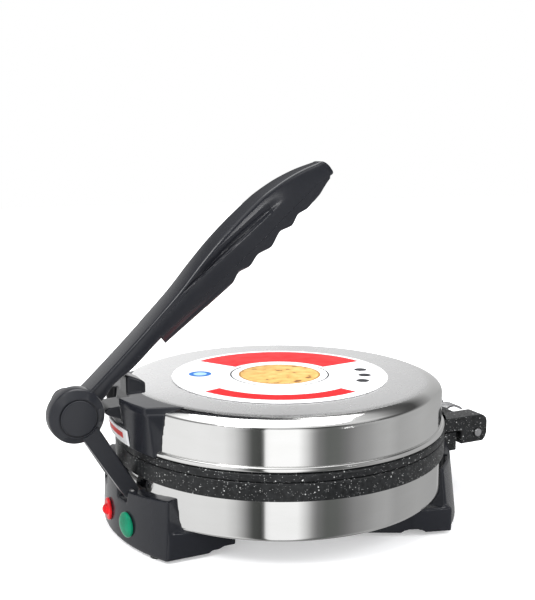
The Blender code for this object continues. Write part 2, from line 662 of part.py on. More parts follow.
def build_front_stand(base):
    top = FRONT_TOP
    profile = [(FRONT_TOP_RADIUS, top), (FRONT_FOOT_RADIUS, STAND_LIFT), *drum_seat(STAND_CORE_RADIUS, top)]
    spread = 2 * math.asin(FRONT_HALF_WIDTH / FRONT_FOOT_RADIUS)
    body = swept(profile, math.pi - spread, math.pi + spread, INNER_STEPS)
    stand = piece("front_stand", body, "plastic", base)
    keep(stand, box(-FRONT_FOOT_RADIUS - OVERRUN, -FRONT_INNER_EDGE, -FRONT_HALF_WIDTH, FRONT_HALF_WIDTH,
                    -OVERRUN, top + OVERRUN))
    pocket_half = math.asin((FRONT_HALF_WIDTH - STAND_WALL) / STAND_POCKET_RADIUS)
    pocket = arc((0, 0), STAND_POCKET_RADIUS, math.pi - pocket_half, math.pi + pocket_half, SMALL_STEPS)
    back = -FRONT_INNER_EDGE - STAND_WALL
    half = FRONT_HALF_WIDTH - STAND_WALL
    pocket += [(back, -half), (back, half)]
    cut(stand, upright_prism(pocket, -OVERRUN, STAND_POCKET_TOP))
    for side in (-1, 1):
        edges = sorted((side * (LINK_INNER - SLOT_SIDE_GAP), side * (LINK_OUTER + SLOT_SIDE_GAP)))
        outer, inner = -FRONT_FOOT_RADIUS - OVERRUN, -DRUM_RADIUS + OVERRUN * 2
        cut(stand, box(outer, inner, *edges, SLOT_FLOOR, top + OVERRUN))
        angle = math.pi + side * FRONT_FOOT_ANGLE
        cut(stand, foot_hole(), radial(FOOT_CIRCLE, angle, STAND_LIFT))
    half = LINK_PIN_HALF + SEAT_GAP
    cut(stand, cross_rod(LINK_PIN_RADIUS + SEAT_GAP, -half, half), LINK_AXIS)
    for side in (GREEN_LAMP_SIDE, RED_LAMP_SIDE):
        hole = rod(LAMP_BARREL_RADIUS + SEAT_GAP, STAND_POCKET_RADIUS - OVERRUN, FRONT_FOOT_RADIUS + OVERRUN)
        cut(stand, hole, (0, 0, LAMP_HEIGHT), outward(lamp_angle(side)))
    for x, y in stand_screw_places()[:2]:
        cut(stand, rod(SCREW_RADIUS + SEAT_GAP, -OVERRUN, OVERRUN), (x, y, STAND_SEAT))
    piece("link_pin", cross_rod(LINK_PIN_RADIUS, -LINK_PIN_HALF, LINK_PIN_HALF), "zinc", base, LINK_AXIS)


def lamp_angle(side):
    return math.pi - math.asin(side / FRONT_FOOT_RADIUS)


def lamp_wall_radius():
    share = (LAMP_HEIGHT - STAND_LIFT) / FRONT_HEIGHT
    return FRONT_FOOT_RADIUS + (FRONT_TOP_RADIUS - FRONT_FOOT_RADIUS) * share


def build_lamps(base):
    cavity = LAMP_BARREL_RADIUS - LAMP_WALL
    barrel = [(LAMP_BARREL_RADIUS, 0), (LAMP_BARREL_RADIUS, -LAMP_BARREL), (cavity, -LAMP_BARREL),
              (cavity, 0), (0, 0)]
    green_face = [(0, GREEN_DOME), (GREEN_RIM_RADIUS * 2 / 3, (GREEN_DOME + LAMP_RIM) / 2),
                  (GREEN_RIM_RADIUS * 5 / 6, LAMP_RIM), (GREEN_RIM_RADIUS, LAMP_RIM / 2),
                  (GREEN_RIM_RADIUS, 0)]
    red_face = [(0, RED_DOME), (RED_DOME_RADIUS * 3 / 5, RED_DOME * 6 / 7),
                (RED_DOME_RADIUS, (RED_DOME + LAMP_RIM) / 2), (RED_DOME_RADIUS, LAMP_RIM),
                (RED_RIM_RADIUS * 5 / 6, LAMP_RIM), (RED_RIM_RADIUS, LAMP_RIM / 2), (RED_RIM_RADIUS, 0)]
    lamps = ("green_lamp", GREEN_LAMP_SIDE, green_face), ("red_lamp", RED_LAMP_SIDE, red_face)
    for name, side, face in lamps:
        angle = lamp_angle(side)
        seat = radial(lamp_wall_radius() + SEAT_GAP, angle, LAMP_HEIGHT)
        look = name.replace("lamp", "lens")
        piece(f"{name}_lens", turned([*face, *barrel], SMALL_STEPS), look, base, seat, outward(angle))
        bulb = rod(BULB_RADIUS, -LAMP_BARREL, -SEAT_GAP, TUBE_STEPS)
        piece(f"{name}_bulb", bulb, "ceramic", base, seat, outward(angle))


def build_rear_stand(base):
    top = REAR_TOP
    above = SKIRT_FOOT - SEAT_GAP
    inner = PLATE_RADIUS + SKIRT_GAP
    profile = [(REAR_TOP_RADIUS, top), (REAR_FOOT_RADIUS, STAND_LIFT), *drum_seat(REAR_LEDGE_RADIUS, above),
               (inner, above), (inner, top)]
    body = swept(profile, -REAR_HALF_ANGLE, REAR_HALF_ANGLE, INNER_STEPS)
    stand = piece("rear_stand", body, "plastic", base)
    for side in (-1, 1):
        across = side * REAR_ARM_WIDTH
        arm = [(share_x * REAR_ARM_REACH, share_y * across) for share_x, share_y in REAR_ARM_SHARES]
        join(stand, upright_prism(arm, STAND_LIFT, STAND_SEAT))
        facing = arm if side > 0 else arm[::-1]
        cut(stand, upright_prism(inset(facing, STAND_WALL), -OVERRUN, STAND_POCKET_TOP))
        angle = side * REAR_FOOT_ANGLE
        cut(stand, foot_hole(), radial(FOOT_CIRCLE, angle, STAND_LIFT))
    half = LUG_OUTER + REAR_NOTCH_GAP
    near, far = DRUM_RADIUS - 2 * OVERRUN, REAR_FOOT_RADIUS + OVERRUN
    cut(stand, box(near, far, -half, half, REAR_NOTCH_FLOOR, top + OVERRUN))
    for x, y in stand_screw_places()[2:]:
        cut(stand, rod(SCREW_RADIUS + SEAT_GAP, -OVERRUN, OVERRUN), (x, y, STAND_SEAT))


def build_feet_and_screws(base):
    rings = ((0, FOOT_STUD), (FOOT_STUD_RADIUS, FOOT_STUD), (FOOT_STUD_RADIUS, -SEAT_GAP),
             (FOOT_RADIUS, -SEAT_GAP), (FOOT_RADIUS, -STAND_LIFT), (0, -STAND_LIFT))
    angles = {"front_left": math.pi - FRONT_FOOT_ANGLE, "front_right": math.pi + FRONT_FOOT_ANGLE,
              "rear_left": REAR_FOOT_ANGLE, "rear_right": -REAR_FOOT_ANGLE}
    for name, angle in angles.items():
        place = radial(FOOT_CIRCLE, angle, STAND_LIFT)
        piece(f"foot_{name}", turned(rings, SMALL_STEPS), "rubber", base, place)
    for name, (x, y) in zip(("front_right", "front_left", "rear_right", "rear_left"), stand_screw_places()):
        screw = pan_screw(SCREW_HEAD_RADIUS, SCREW_HEAD, SCREW_RADIUS, SCREW_LENGTH, TUBE_STEPS)
        piece(f"stand_screw_{name}", screw, "zinc", base, (x, y, STAND_POCKET_TOP - SEAT_GAP))


def build_hinge_pin(base):
    half = LUG_OUTER
    pin = piece("hinge_pin", cross_rod(HINGE_PIN_RADIUS, -half - SEAT_GAP, half), "zinc", base, HINGE_AXIS)
    head = cross_rod(HINGE_PIN_HEAD_RADIUS, -half - SEAT_GAP - HINGE_PIN_HEAD, -half - SEAT_GAP)
    join(pin, head, HINGE_AXIS)


def lid_profile():
    """The lid's outer outline from the middle of its top to the inner foot of its rolled rim."""
    bead = (BEAD_CENTRE_RADIUS, LID_RIM + RIM_BEAD_RADIUS)
    start = math.acos(-RIM_BEAD_OFFSET / RIM_BEAD_RADIUS)
    end = -math.acos((LID_BORE - BEAD_CENTRE_RADIUS) / RIM_BEAD_RADIUS)
    ease = LID_BEVEL_DROP / 5
    return [(0, LID_TOP), (LID_TOP_RADIUS, LID_TOP), (LID_TOP_RADIUS + ease, LID_TOP - ease / 5),
            (LID_RADIUS - ease, LID_SHOULDER + ease / 2), (LID_RADIUS, LID_SHOULDER - ease),
            *arc(bead, RIM_BEAD_RADIUS, start, end, 7)]


def build_lid(lid):
    ease = LID_BEVEL_DROP / 5
    inside = [(LID_BORE, LID_SHOULDER - ease), (LID_BORE - ease, LID_SHOULDER - LID_SHEET / 2),
              (LID_TOP_RADIUS, LID_TOP - LID_SHEET), (0, LID_TOP - LID_SHEET)]
    shell = piece("lid_shell", turned([*lid_profile(), *inside], BODY_STEPS), "steel", lid)
    for angle in bracket_screw_angles():
        hole = rod(SCREW_RADIUS + SEAT_GAP, -OVERRUN, OVERRUN, TUBE_STEPS)
        cut(shell, hole, radial(LID_RADIUS, angle, bracket_screw_height()), outward(angle))
    label_low = LID_TOP + SEAT_GAP
    piece("lid_label", rod(LABEL_RADIUS, label_low, label_low + LABEL_SHEET, BODY_STEPS), "white", lid)


def build_upper_plate(lid):
    upstand = LID_BORE - SEAT_GAP
    bore = upstand - UPSTAND_WALL
    rings = ((0, UPPER_FACE), (PLATE_RADIUS, UPPER_FACE), (PLATE_RADIUS, BAND_TOP), (upstand, BAND_TOP),
             (upstand, UPSTAND_TOP), (bore, UPSTAND_TOP), (bore, UPPER_FLOOR), (0, UPPER_FLOOR))
    plate = piece("upper_plate", turned(rings, BODY_STEPS), "granite", lid)
    block_top = HINGE_HEIGHT + LUG_TOP_HEIGHT
    start = PLATE_RADIUS + SKIRT_GAP
    heel = HINGE_REACH - LUG_HEEL
    end = arc((HINGE_REACH, HINGE_HEIGHT), LUG_END_RADIUS, 0, -math.asin(LUG_DROP / LUG_END_RADIUS), 4)
    lug = [(DRUM_BORE - OVERRUN, UPPER_FACE), (DRUM_BORE - OVERRUN, BAND_TOP - SEAT_GAP),
           (start, BAND_TOP - SEAT_GAP), (start + LUG_NECK, block_top),
           (HINGE_REACH + LUG_END_RADIUS / 2, block_top),
           (HINGE_REACH + LUG_END_RADIUS, block_top - LUG_NECK), *end, (heel, HINGE_HEIGHT - LUG_DROP),
           (heel, SKIRT_FOOT), (start, SKIRT_FOOT), (start, UPPER_FACE)]
    for side in (-1, 1):
        join(plate, side_prism(lug, side * LUG_INNER, side * LUG_OUTER))
    cut(plate, cross_rod(HINGE_PIN_RADIUS + SEAT_GAP, -LUG_OUTER - OVERRUN, LUG_OUTER + OVERRUN), HINGE_AXIS)
    boss_top = UPPER_FLOOR + RETAINER_DEPTH - SEAT_GAP
    join(plate, rod(BOSS_RADIUS, UPPER_FLOOR - SEAT_GAP, boss_top))
    cut(plate, rod(BOLT_RADIUS + SEAT_GAP, boss_top - BOLT_GRIP - SEAT_GAP, boss_top + OVERRUN))


def build_lid_inside(lid):
    piece("upper_element", element(UPPER_FLOOR, 1), "element", lid)
    piece("upper_retainer", retainer(UPPER_FLOOR, 1), "zinc", lid)
    seat = UPPER_FLOOR + RETAINER_DEPTH + RETAINER_SHEET + SEAT_GAP
    screw = pan_screw(BOLT_HEAD_RADIUS, SCREW_HEAD, BOLT_RADIUS, RETAINER_SHEET + BOLT_GRIP)
    piece("upper_screw", screw, "zinc", lid, (0, 0, seat), (math.pi, 0, 0))


def build_hinge_guard(lid):
    """A bent strap over the hinge that shields the wires between the two plates."""
    centre = (HINGE_REACH, HINGE_HEIGHT)
    low = UPPER_FACE + SEAT_GAP
    inner = arc(centre, GUARD_RADIUS, GUARD_START, GUARD_END, 8)
    outer = arc(centre, GUARD_RADIUS + GUARD_SHEET, GUARD_END, GUARD_START, 8)
    start = PLATE_RADIUS + SEAT_GAP
    outline = [*inner, (start + GUARD_SHEET, low), (start, low), (start, BAND_TOP - SEAT_GAP),
               (start + 2 * GUARD_SHEET, BAND_TOP - SEAT_GAP), *outer]
    piece("hinge_guard", side_prism(outline, -GUARD_WIDTH / 2, GUARD_WIDTH / 2), "zinc", lid)


def bracket_screw_angles():
    return [math.pi + side * BRACKET_SCREW_ANGLE for side in (-1, 1)]


def bracket_screw_height():
    return (LID_SHOULDER + BEAD_TOP) / 2


def bracket_radius(height):
    """Outer radius of the bracket at a height, between its foot and the underside of its flange."""
    flange_foot = BRACKET_TOP - BRACKET_FLANGE
    share = (height - LID_RIM) / (flange_foot - LID_RIM)
    return BRACKET_FOOT_RADIUS + (BRACKET_TOP_RADIUS - BRACKET_FOOT_RADIUS) * share


def notch_outline():
    """Side outline of what the handle's stem swings through, cut from the bracket's front."""
    lip = BRACKET_TOP - NOTCH_DEPTH
    wall = -NOTCH_FRONT - NOTCH_DRAFT
    far = -NOTCH_FRONT - NOTCH_LIP_REACH - OVERRUN * 2
    return [(-NOTCH_FRONT, BRACKET_TOP + HUMP_HEIGHT + OVERRUN), (-NOTCH_FRONT, BRACKET_TOP), (wall, lip),
            (wall - NOTCH_LIP_REACH, lip - NOTCH_LIP_DROP), (far, lip - NOTCH_LIP_DROP),
            (far, BRACKET_TOP + HUMP_HEIGHT + OVERRUN)]


def build_bracket(lid):
    flange_foot = BRACKET_TOP - BRACKET_FLANGE
    first, last = math.pi - BRACKET_SPAN, math.pi + BRACKET_SPAN
    steps = INNER_STEPS // 2
    flange = [(BRACKET_INNER, BRACKET_TOP), (BRACKET_INNER, LID_SHOULDER), (BRACKET_INNER, flange_foot),
              (BRACKET_TOP_RADIUS, flange_foot), (BRACKET_TOP_RADIUS, BRACKET_TOP)]
    bracket = piece("lid_bracket", swept(flange, first, last, steps), "plastic", lid)
    deep = -BRACKET_TOP_RADIUS - OVERRUN
    keep(bracket, box(deep, 0, -BRACKET_HALF_WIDTH, BRACKET_HALF_WIDTH, 0, BRACKET_TOP + OVERRUN))
    inner, outer = LID_RADIUS - OVERRUN / 2, BRACKET_TOP_RADIUS - SEAT_GAP
    half = math.asin(BRACKET_BODY_HALF_WIDTH / BRACKET_TOP_RADIUS)
    body = [(inner, flange_foot + SEAT_GAP), (inner, LID_RIM), (BRACKET_FOOT_RADIUS, LID_RIM),
            (outer, flange_foot), (outer, flange_foot + SEAT_GAP)]
    join(bracket, swept(body, math.pi - half, math.pi + half, steps))
    hump = [(-NOTCH_FRONT + share_x * HUMP_LENGTH, BRACKET_TOP + share_z * HUMP_HEIGHT)
            for share_x, share_z in HUMP_SHARES[1:-1]]
    foot = flange_foot + SEAT_GAP
    hump = [(-NOTCH_FRONT, foot), *hump, (-NOTCH_FRONT + HUMP_LENGTH, foot)]
    cut(bracket, side_prism(notch_outline(), -NOTCH_HALF_WIDTH, NOTCH_HALF_WIDTH))
    join(bracket, side_prism(hump, -HUMP_HALF_WIDTH, HUMP_HALF_WIDTH))
    cut(bracket, turned(lid_clearance(), BODY_STEPS * 2))
    for angle in bracket_screw_angles():
        hole = rod(SCREW_RADIUS + SEAT_GAP, -OVERRUN, BRACKET_SCREW_LENGTH + SEAT_GAP, TUBE_STEPS)
        cut(bracket, hole, radial(LID_RADIUS, angle, bracket_screw_height()), outward(angle))


def lid_clearance():
    """The lid's outline with the fit's gap all round, drawn down past the rim."""
    bead = BEAD_CENTRE_RADIUS + RIM_BEAD_RADIUS + SEAT_GAP
    wall = LID_RADIUS + SEAT_GAP
    ease = LID_BEVEL_DROP / 5
    return [(0, LID_TOP + SEAT_GAP), (LID_TOP_RADIUS + ease, LID_TOP + SEAT_GAP), (wall, LID_SHOULDER + ease),
            (wall, BEAD_TOP + SEAT_GAP), (bead, BEAD_TOP + SEAT_GAP), (bead, LID_RIM - OVERRUN),
            (0, LID_RIM - OVERRUN)]


def build_bracket_trim(lid):
    top = BRACKET_TOP - PANEL_TOP_DROP
    low = top - PANEL_HEIGHT
    near, far = SEAT_GAP, SEAT_GAP + PANEL_SHEET
    profile = [(bracket_radius(top) + near, top), (bracket_radius(low) + near, low),
               (bracket_radius(low) + far, low), (bracket_radius(top) + far, top)]
    panel = swept(profile, math.pi - PANEL_HALF_ANGLE, math.pi + PANEL_HALF_ANGLE, SMALL_STEPS)
    piece("bracket_panel", panel, "white", lid)
    for name, angle in zip(("right", "left"), bracket_screw_angles()):
        shank = BRACKET_SCREW_LENGTH + LID_SHEET
        screw = pan_screw(SCREW_HEAD_RADIUS, SCREW_HEAD, SCREW_RADIUS, shank, TUBE_STEPS)
        seat = radial(LID_BORE - 2 * SEAT_GAP, angle, bracket_screw_height())
        piece(f"bracket_screw_{name}", screw, "zinc", lid, seat, outward(angle))


def arm_outline():
    """Side outline of a link arm: two round ends joined by straight sides."""
    foot, head = Vector((LINK_AXIS.x, LINK_AXIS.z)), Vector((HANDLE_AXIS.x, HANDLE_AXIS.z))
    along = math.atan2(head.y - foot.y, head.x - foot.x)
    quarter = math.pi / 2
    return [*arc(foot, LINK_FOOT_RADIUS, along + quarter, along + 3 * quarter, 7),
            *arc(head, LINK_HEAD_RADIUS, along - quarter, along + quarter, 7)]


def pin_holes(arm, side):
    near, far = sorted((side * (LINK_INNER - OVERRUN), side * (LINK_OUTER + OVERRUN)))
    cut(arm, cross_rod(LINK_PIN_RADIUS + SEAT_GAP, near, far), LINK_AXIS)
    cut(arm, cross_rod(HANDLE_PIN_RADIUS + SEAT_GAP, near, far), HANDLE_AXIS)


def build_link(link):
    near = piece("link_arm_near", side_prism(arm_outline(), -LINK_INNER, -LINK_OUTER), "plastic", link)
    face = LINK_INNER + KNOB_DEPTH
    shoulder = LINK_INNER + KNOB_SHOULDER
    ease = face - shoulder
    rings = [(0, -LINK_INNER), (KNOB_RADIUS, -LINK_INNER), (KNOB_RADIUS, -shoulder),
             (KNOB_RADIUS - ease / 8, -shoulder - ease * 2 / 5),
             (KNOB_RADIUS - ease * 2 / 5, -shoulder - ease * 3 / 4), (KNOB_FACE_RADIUS, -face), (0, -face)]
    upright = (-math.pi / 2, 0, 0)
    knob = turned([(radius, -height) for radius, height in rings], SMALL_STEPS * 3)
    join(near, knob, HANDLE_AXIS, (math.pi / 2, 0, 0))
    pin_holes(near, -1)
    far = piece("link_arm_far", side_prism(arm_outline(), LINK_INNER, LINK_OUTER), "plastic", link)
    pin_holes(far, 1)
    cap_seat = face + SEAT_GAP
    edge = CAP_HEIGHT / 3
    rings = [(0, cap_seat), (CAP_RADIUS, cap_seat), (CAP_RADIUS, cap_seat + CAP_HEIGHT - edge),
             (CAP_RADIUS - edge, cap_seat + CAP_HEIGHT), (0, cap_seat + CAP_HEIGHT)]
    piece("pivot_cap", turned(rings, SMALL_STEPS * 2), "plastic", link, HANDLE_AXIS, (math.pi / 2, 0, 0))
    head_seat = LINK_OUTER + SEAT_GAP
    shank = (0, -face), (HANDLE_PIN_RADIUS, -face), (HANDLE_PIN_RADIUS, head_seat)
    head = (HANDLE_PIN_HEAD_RADIUS, head_seat), (HANDLE_PIN_HEAD_RADIUS, head_seat + HANDLE_PIN_HEAD)
    pin = turned([*shank, *head, (0, head_seat + HANDLE_PIN_HEAD)], SMALL_STEPS)
    piece("handle_pin", pin, "zinc", link, HANDLE_AXIS, upright)


def along_handle(shares):
    """Outline points as distance along the handle's lean and height square to it."""
    cosine, sine = math.cos(HANDLE_LEAN), math.sin(HANDLE_LEAN)
    points = []
    for share_x, share_z in shares:
        x, z = share_x * HANDLE_REACH, share_z * HANDLE_HEIGHT
        points.append((x * cosine + z * sine, z * cosine - x * sine))
    return points


def sample(points, place):
    """The value at a place on a line through points, held past its ends."""
    if place <= points[0][0]:
        return points[0][1]
    for (x0, y0), (x1, y1) in zip(points, points[1:]):
        if place <= x1:
            return y0 + (y1 - y0) * (place - x0) / (x1 - x0)
    return points[-1][1]


def handle_length():
    return max(place for place, height in along_handle(TOP_SHARES))


def half_width(place):
    table = [(share * handle_length(), width * HANDLE_HALF_WIDTH) for share, width in WIDTH_SHARES]
    return sample(table, place)


def from_handle(place, height):
    """From distance along the lean and height square to it to (x, z) from the handle's axis."""
    cosine, sine = math.cos(HANDLE_LEAN), math.sin(HANDLE_LEAN)
    return (place * cosine - height * sine, place * sine + height * cosine)


def handle_solid(stations):
    """A solid through chamfered sections, each given as (place, lower height, upper height)."""
    sections = []
    for place, low, high in stations:
        half = half_width(place)
        corner = min(HANDLE_CORNER, (high - low) / 3, half / 3)
        edge = half - corner
        outline = [(-half, low + corner), (-edge, low), (edge, low), (half, low + corner),
                   (half, high - corner), (edge, high), (-edge, high), (-half, high - corner)]
        section = []
        for y, height in outline:
            x, z = from_handle(place, height)
            section.append((x, y, z))
        sections.append(section)
    return lofted(sections)


def strip_depth(place):
    share = (place - STRIP_START) / (STRIP_END - STRIP_START)
    return STRIP_START_DEPTH + (STRIP_END_DEPTH - STRIP_START_DEPTH) * share


def build_handle(handle):
    top = along_handle(TOP_SHARES)
    under = along_handle(STEM_UNDER_SHARES)
    grip_under = along_handle(GRIP_UNDER_SHARES)
    length = handle_length()
    places = {END_STEP, length - END_STEP, STRIP_START - SEAT_GAP, STRIP_START - SEAT_GAP + END_STEP}
    places |= {STRIP_END + SEAT_GAP, STRIP_END + SEAT_GAP - END_STEP}
    places |= {place for place, height in top + under if END_STEP < place < length - END_STEP}
    stations = []
    for place in sorted(places):
        low, high = sample(under, place), sample(top, place)
        if STRIP_START - SEAT_GAP < place < STRIP_END + SEAT_GAP:
            high -= strip_depth(place) + SEAT_GAP
        stations.append((place, low, max(high, low + HANDLE_CORNER)))
    core = piece("handle_core", handle_solid(stations), "plastic", handle, HANDLE_AXIS)
    half = HANDLE_HALF_WIDTH
    join(core, cross_rod(BARREL_RADIUS, -half, half, SMALL_STEPS * 2), HANDLE_AXIS)
    places = {STRIP_START, STRIP_END} | {place for place, height in top if STRIP_START < place < STRIP_END}
    stations = []
    for place in sorted(places):
        surface = sample(top, place)
        stations.append((place, surface - strip_depth(place), surface))
    piece("handle_top", handle_solid(stations), "plastic", handle, HANDLE_AXIS)
    first, last = grip_under[0][0] + SEAT_GAP, length - GRIP_END_MARGIN
    places = {first, last} | {place for place, height in grip_under + under if first < place < last}
    stations = []
    for place in sorted(places):
        stations.append((place, sample(grip_under, place), sample(under, place) - SEAT_GAP))
    grip = piece("handle_grip", handle_solid(stations), "plastic", handle, HANDLE_AXIS)
    for target in (core, grip):
        cut(target, channel(), HANDLE_AXIS)
    cut(core, cross_rod(HANDLE_PIN_RADIUS + SEAT_GAP, -half - OVERRUN, half + OVERRUN), HANDLE_AXIS)
    build_handle_screws(handle, core, grip)


def channel():
    """The groove under the stem that takes the bracket's hump while the lid opens."""
    step = CHANNEL_DEPTH / math.sqrt(2)
    line = [(x * HANDLE_REACH, z * HANDLE_HEIGHT) for x, z in CHANNEL_SHARES]
    roof = [(x - step, z + step) for x, z in line]
    reach = 4 * step
    outline = [*roof, (line[-1][0] + reach, line[-1][1] - reach), (line[0][0] + reach, line[0][1] - reach)]
    return side_prism(outline, -CHANNEL_HALF_WIDTH, CHANNEL_HALF_WIDTH)


def build_handle_screws(handle, core, grip):
    grip_under = along_handle(GRIP_UNDER_SHARES)
    upward = (0, -HANDLE_LEAN, 0)
    for name, number in (("lower", 0), ("upper", 1)):
        place = HANDLE_SCREW_PLACE + number * HANDLE_SCREW_PITCH
        seat = sample(grip_under, place) + HANDLE_SCREW_SINK
        x, z = from_handle(place, seat)
        position = HANDLE_AXIS + Vector((x, 0, z))
        well = rod(SCREW_HEAD_RADIUS + SEAT_GAP, -HANDLE_SCREW_SINK - OVERRUN, 0)
        cut(grip, well, position, upward)
        for target in (core, grip):
            hole = rod(SCREW_RADIUS + SEAT_GAP, -OVERRUN, HANDLE_SCREW_LENGTH + SEAT_GAP)
            cut(target, hole, position, upward)
        screw = pan_screw(SCREW_HEAD_RADIUS, SCREW_HEAD, SCREW_RADIUS, HANDLE_SCREW_LENGTH)
        x, z = from_handle(place, seat - SEAT_GAP)
        piece(f"handle_screw_{name}", screw, "zinc", handle, HANDLE_AXIS + Vector((x, 0, z)), upward)
    surface = sample(along_handle(TOP_SHARES), STEM_SCREW_PLACE)
    x, z = from_handle(STEM_SCREW_PLACE, surface)
    position = HANDLE_AXIS + Vector((x, 0, z))
    cut(core, rod(STEM_SCREW_RADIUS + SEAT_GAP, -STEM_SCREW_LENGTH - SEAT_GAP, OVERRUN), position, upward)
    screw = rod(STEM_SCREW_RADIUS, -STEM_SCREW_LENGTH, -SEAT_GAP)
    piece("stem_screw", screw, "zinc", handle, position, upward)


def main():
    clear_scene()
    base = axis_empty("drum_axis", (-MIDDLE, 0, 0))
    lid = axis_empty("lid_hinge_axis", HINGE_AXIS, base)
    link = axis_empty("link_foot_axis", LINK_AXIS, base)
    handle = axis_empty("handle_axis", HANDLE_AXIS - LINK_AXIS, link)
    build_drum(base)
    build_lower_plate(base)
    build_base_inside(base)
    build_front_stand(base)
    build_lamps(base)
    build_rear_stand(base)
    build_feet_and_screws(base)
    build_hinge_pin(base)
    build_lid(lid)
    build_upper_plate(lid)
    build_lid_inside(lid)
    build_hinge_guard(lid)
    build_bracket(lid)
    build_bracket_trim(lid)
    build_link(link)
    build_handle(handle)


main()
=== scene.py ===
import json
import math

import bmesh
import bpy
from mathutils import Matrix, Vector


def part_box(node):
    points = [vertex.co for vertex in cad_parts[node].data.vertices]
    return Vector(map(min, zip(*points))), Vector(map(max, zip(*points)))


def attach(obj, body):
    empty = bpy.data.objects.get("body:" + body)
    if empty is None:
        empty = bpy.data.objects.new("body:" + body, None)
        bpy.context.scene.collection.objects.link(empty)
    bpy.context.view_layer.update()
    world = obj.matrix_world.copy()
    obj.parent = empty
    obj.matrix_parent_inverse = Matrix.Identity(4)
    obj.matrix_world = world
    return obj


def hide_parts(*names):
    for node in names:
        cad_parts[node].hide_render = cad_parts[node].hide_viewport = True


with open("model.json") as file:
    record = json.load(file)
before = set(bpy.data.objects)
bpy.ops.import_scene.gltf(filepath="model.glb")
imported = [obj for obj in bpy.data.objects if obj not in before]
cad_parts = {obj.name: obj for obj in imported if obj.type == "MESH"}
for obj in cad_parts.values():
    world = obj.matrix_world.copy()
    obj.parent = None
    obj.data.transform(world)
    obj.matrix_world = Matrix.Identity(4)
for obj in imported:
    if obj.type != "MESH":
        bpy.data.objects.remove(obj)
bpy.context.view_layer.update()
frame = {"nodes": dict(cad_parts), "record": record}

MM = 0.001
DRUM_LOW, DRUM_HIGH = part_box("base_drum")
AXIS_X = (DRUM_LOW.x + DRUM_HIGH.x) / 2
GAP = 0.3 * MM

# Radii and heights from the drum's axis at the table
DRUM_R = (DRUM_HIGH.x - DRUM_LOW.x) / 2
DRUM_Z = DRUM_LOW.z
DRUM_TOP = DRUM_HIGH.z
PLATE_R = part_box("upper_plate")[1].y
SKIRT_Z = 48.6 * MM
JOINT_Z = 61.1 * MM
BAND_Z = 66.8 * MM
LID_R = 121 * MM
LID_Z = BAND_Z + GAP
LID_SHOULDER = LID_Z + 29 * MM
LID_TOP = LID_SHOULDER + 4.5 * MM
LID_FLAT_R = 111 * MM
BRACKET_TOP = LID_TOP + 1 * MM
LABEL_R = 81 * MM
STAND_FOOT_Z = 2 * MM
STAND_FOOT_R = 133 * MM
FRONT_TOP_R = 131.5 * MM
FRONT_TOP_Z = 42.8 * MM
HINGE = Vector((157.5 * MM, 0, 45.6 * MM))
EAR_NECK_X = 139 * MM
LUG_END = 38 * MM
ARM_INNER, ARM_OUTER = 14.4 * MM, 27 * MM
LINK_FOOT = Vector((-125.2 * MM, 0, 38.6 * MM))
PIVOT = Vector((-159.5 * MM, 0, 95.6 * MM))
REACH = 205 * MM
RISE = 165 * MM
LEAN = math.atan2(RISE, REACH)
HALF_WIDTH = 13 * MM


# ---------------------------------------------------------------- meshes
def make_object(name, bm, place=(0, 0, 0), turn=(0, 0, 0), angle=32):
    bmesh.ops.recalc_face_normals(bm, faces=bm.faces)
    mesh = bpy.data.meshes.new(name)
    bm.to_mesh(mesh)
    bm.free()
    obj = bpy.data.objects.new(name, mesh)
    bpy.context.scene.collection.objects.link(obj)
    obj.location = Vector((AXIS_X, 0, 0)) + Vector(place)
    obj.rotation_euler = turn
    soften(obj, angle)
    return obj


def soften(obj, angle):
    obj.data.shade_smooth()
    if angle:
        obj.data.set_sharp_from_angle(angle=math.radians(angle))


def apply_modifiers(obj, tools=()):
    bpy.context.view_layer.update()
    graph = bpy.context.evaluated_depsgraph_get()
    mesh = bpy.data.meshes.new_from_object(obj.evaluated_get(graph))
    mesh.name = obj.name
    obj.modifiers.clear()
    obj.data = mesh
    for tool in tools:
        bpy.data.objects.remove(tool)
    return obj


def carved(obj, steps):
    """Runs Booleans on the object. Each step is an operation, a mesh, and where the mesh goes."""
    tools = []
    for operation, bm, *where in steps:
        tool = make_object("tool", bm, *where)
        tools.append(tool)
        modifier = obj.modifiers.new("step", "BOOLEAN")
        modifier.operation = operation
        modifier.object = tool
        modifier.solver = "EXACT"
    return apply_modifiers(obj, tools)


def moulded(obj, voxel, rounds):
    """Rounds every edge of a solid a little, as on a moulded part."""
    remesh = obj.modifiers.new("remesh", "REMESH")
    remesh.mode = "VOXEL"
    remesh.voxel_size = voxel
    remesh.use_smooth_shade = True
    smooth = obj.modifiers.new("smooth", "SMOOTH")
    smooth.factor = 0.5
    smooth.iterations = rounds
    apply_modifiers(obj)
    soften(obj, 0)
    return obj


def bevelled(obj, width, segments=3, angle=30):
    bevel = obj.modifiers.new("bevel", "BEVEL")
    bevel.width = width
    bevel.segments = segments
    bevel.limit_method = "ANGLE"
    bevel.angle_limit = math.radians(angle)
    bevel.harden_normals = True
    return apply_modifiers(obj)


def arc(centre, radius, start, end, count):
    points = []
    for i in range(count):
        angle = start + (end - start) * i / (count - 1)
        points.append((centre[0] + radius * math.cos(angle), centre[1] + radius * math.sin(angle)))
    return points


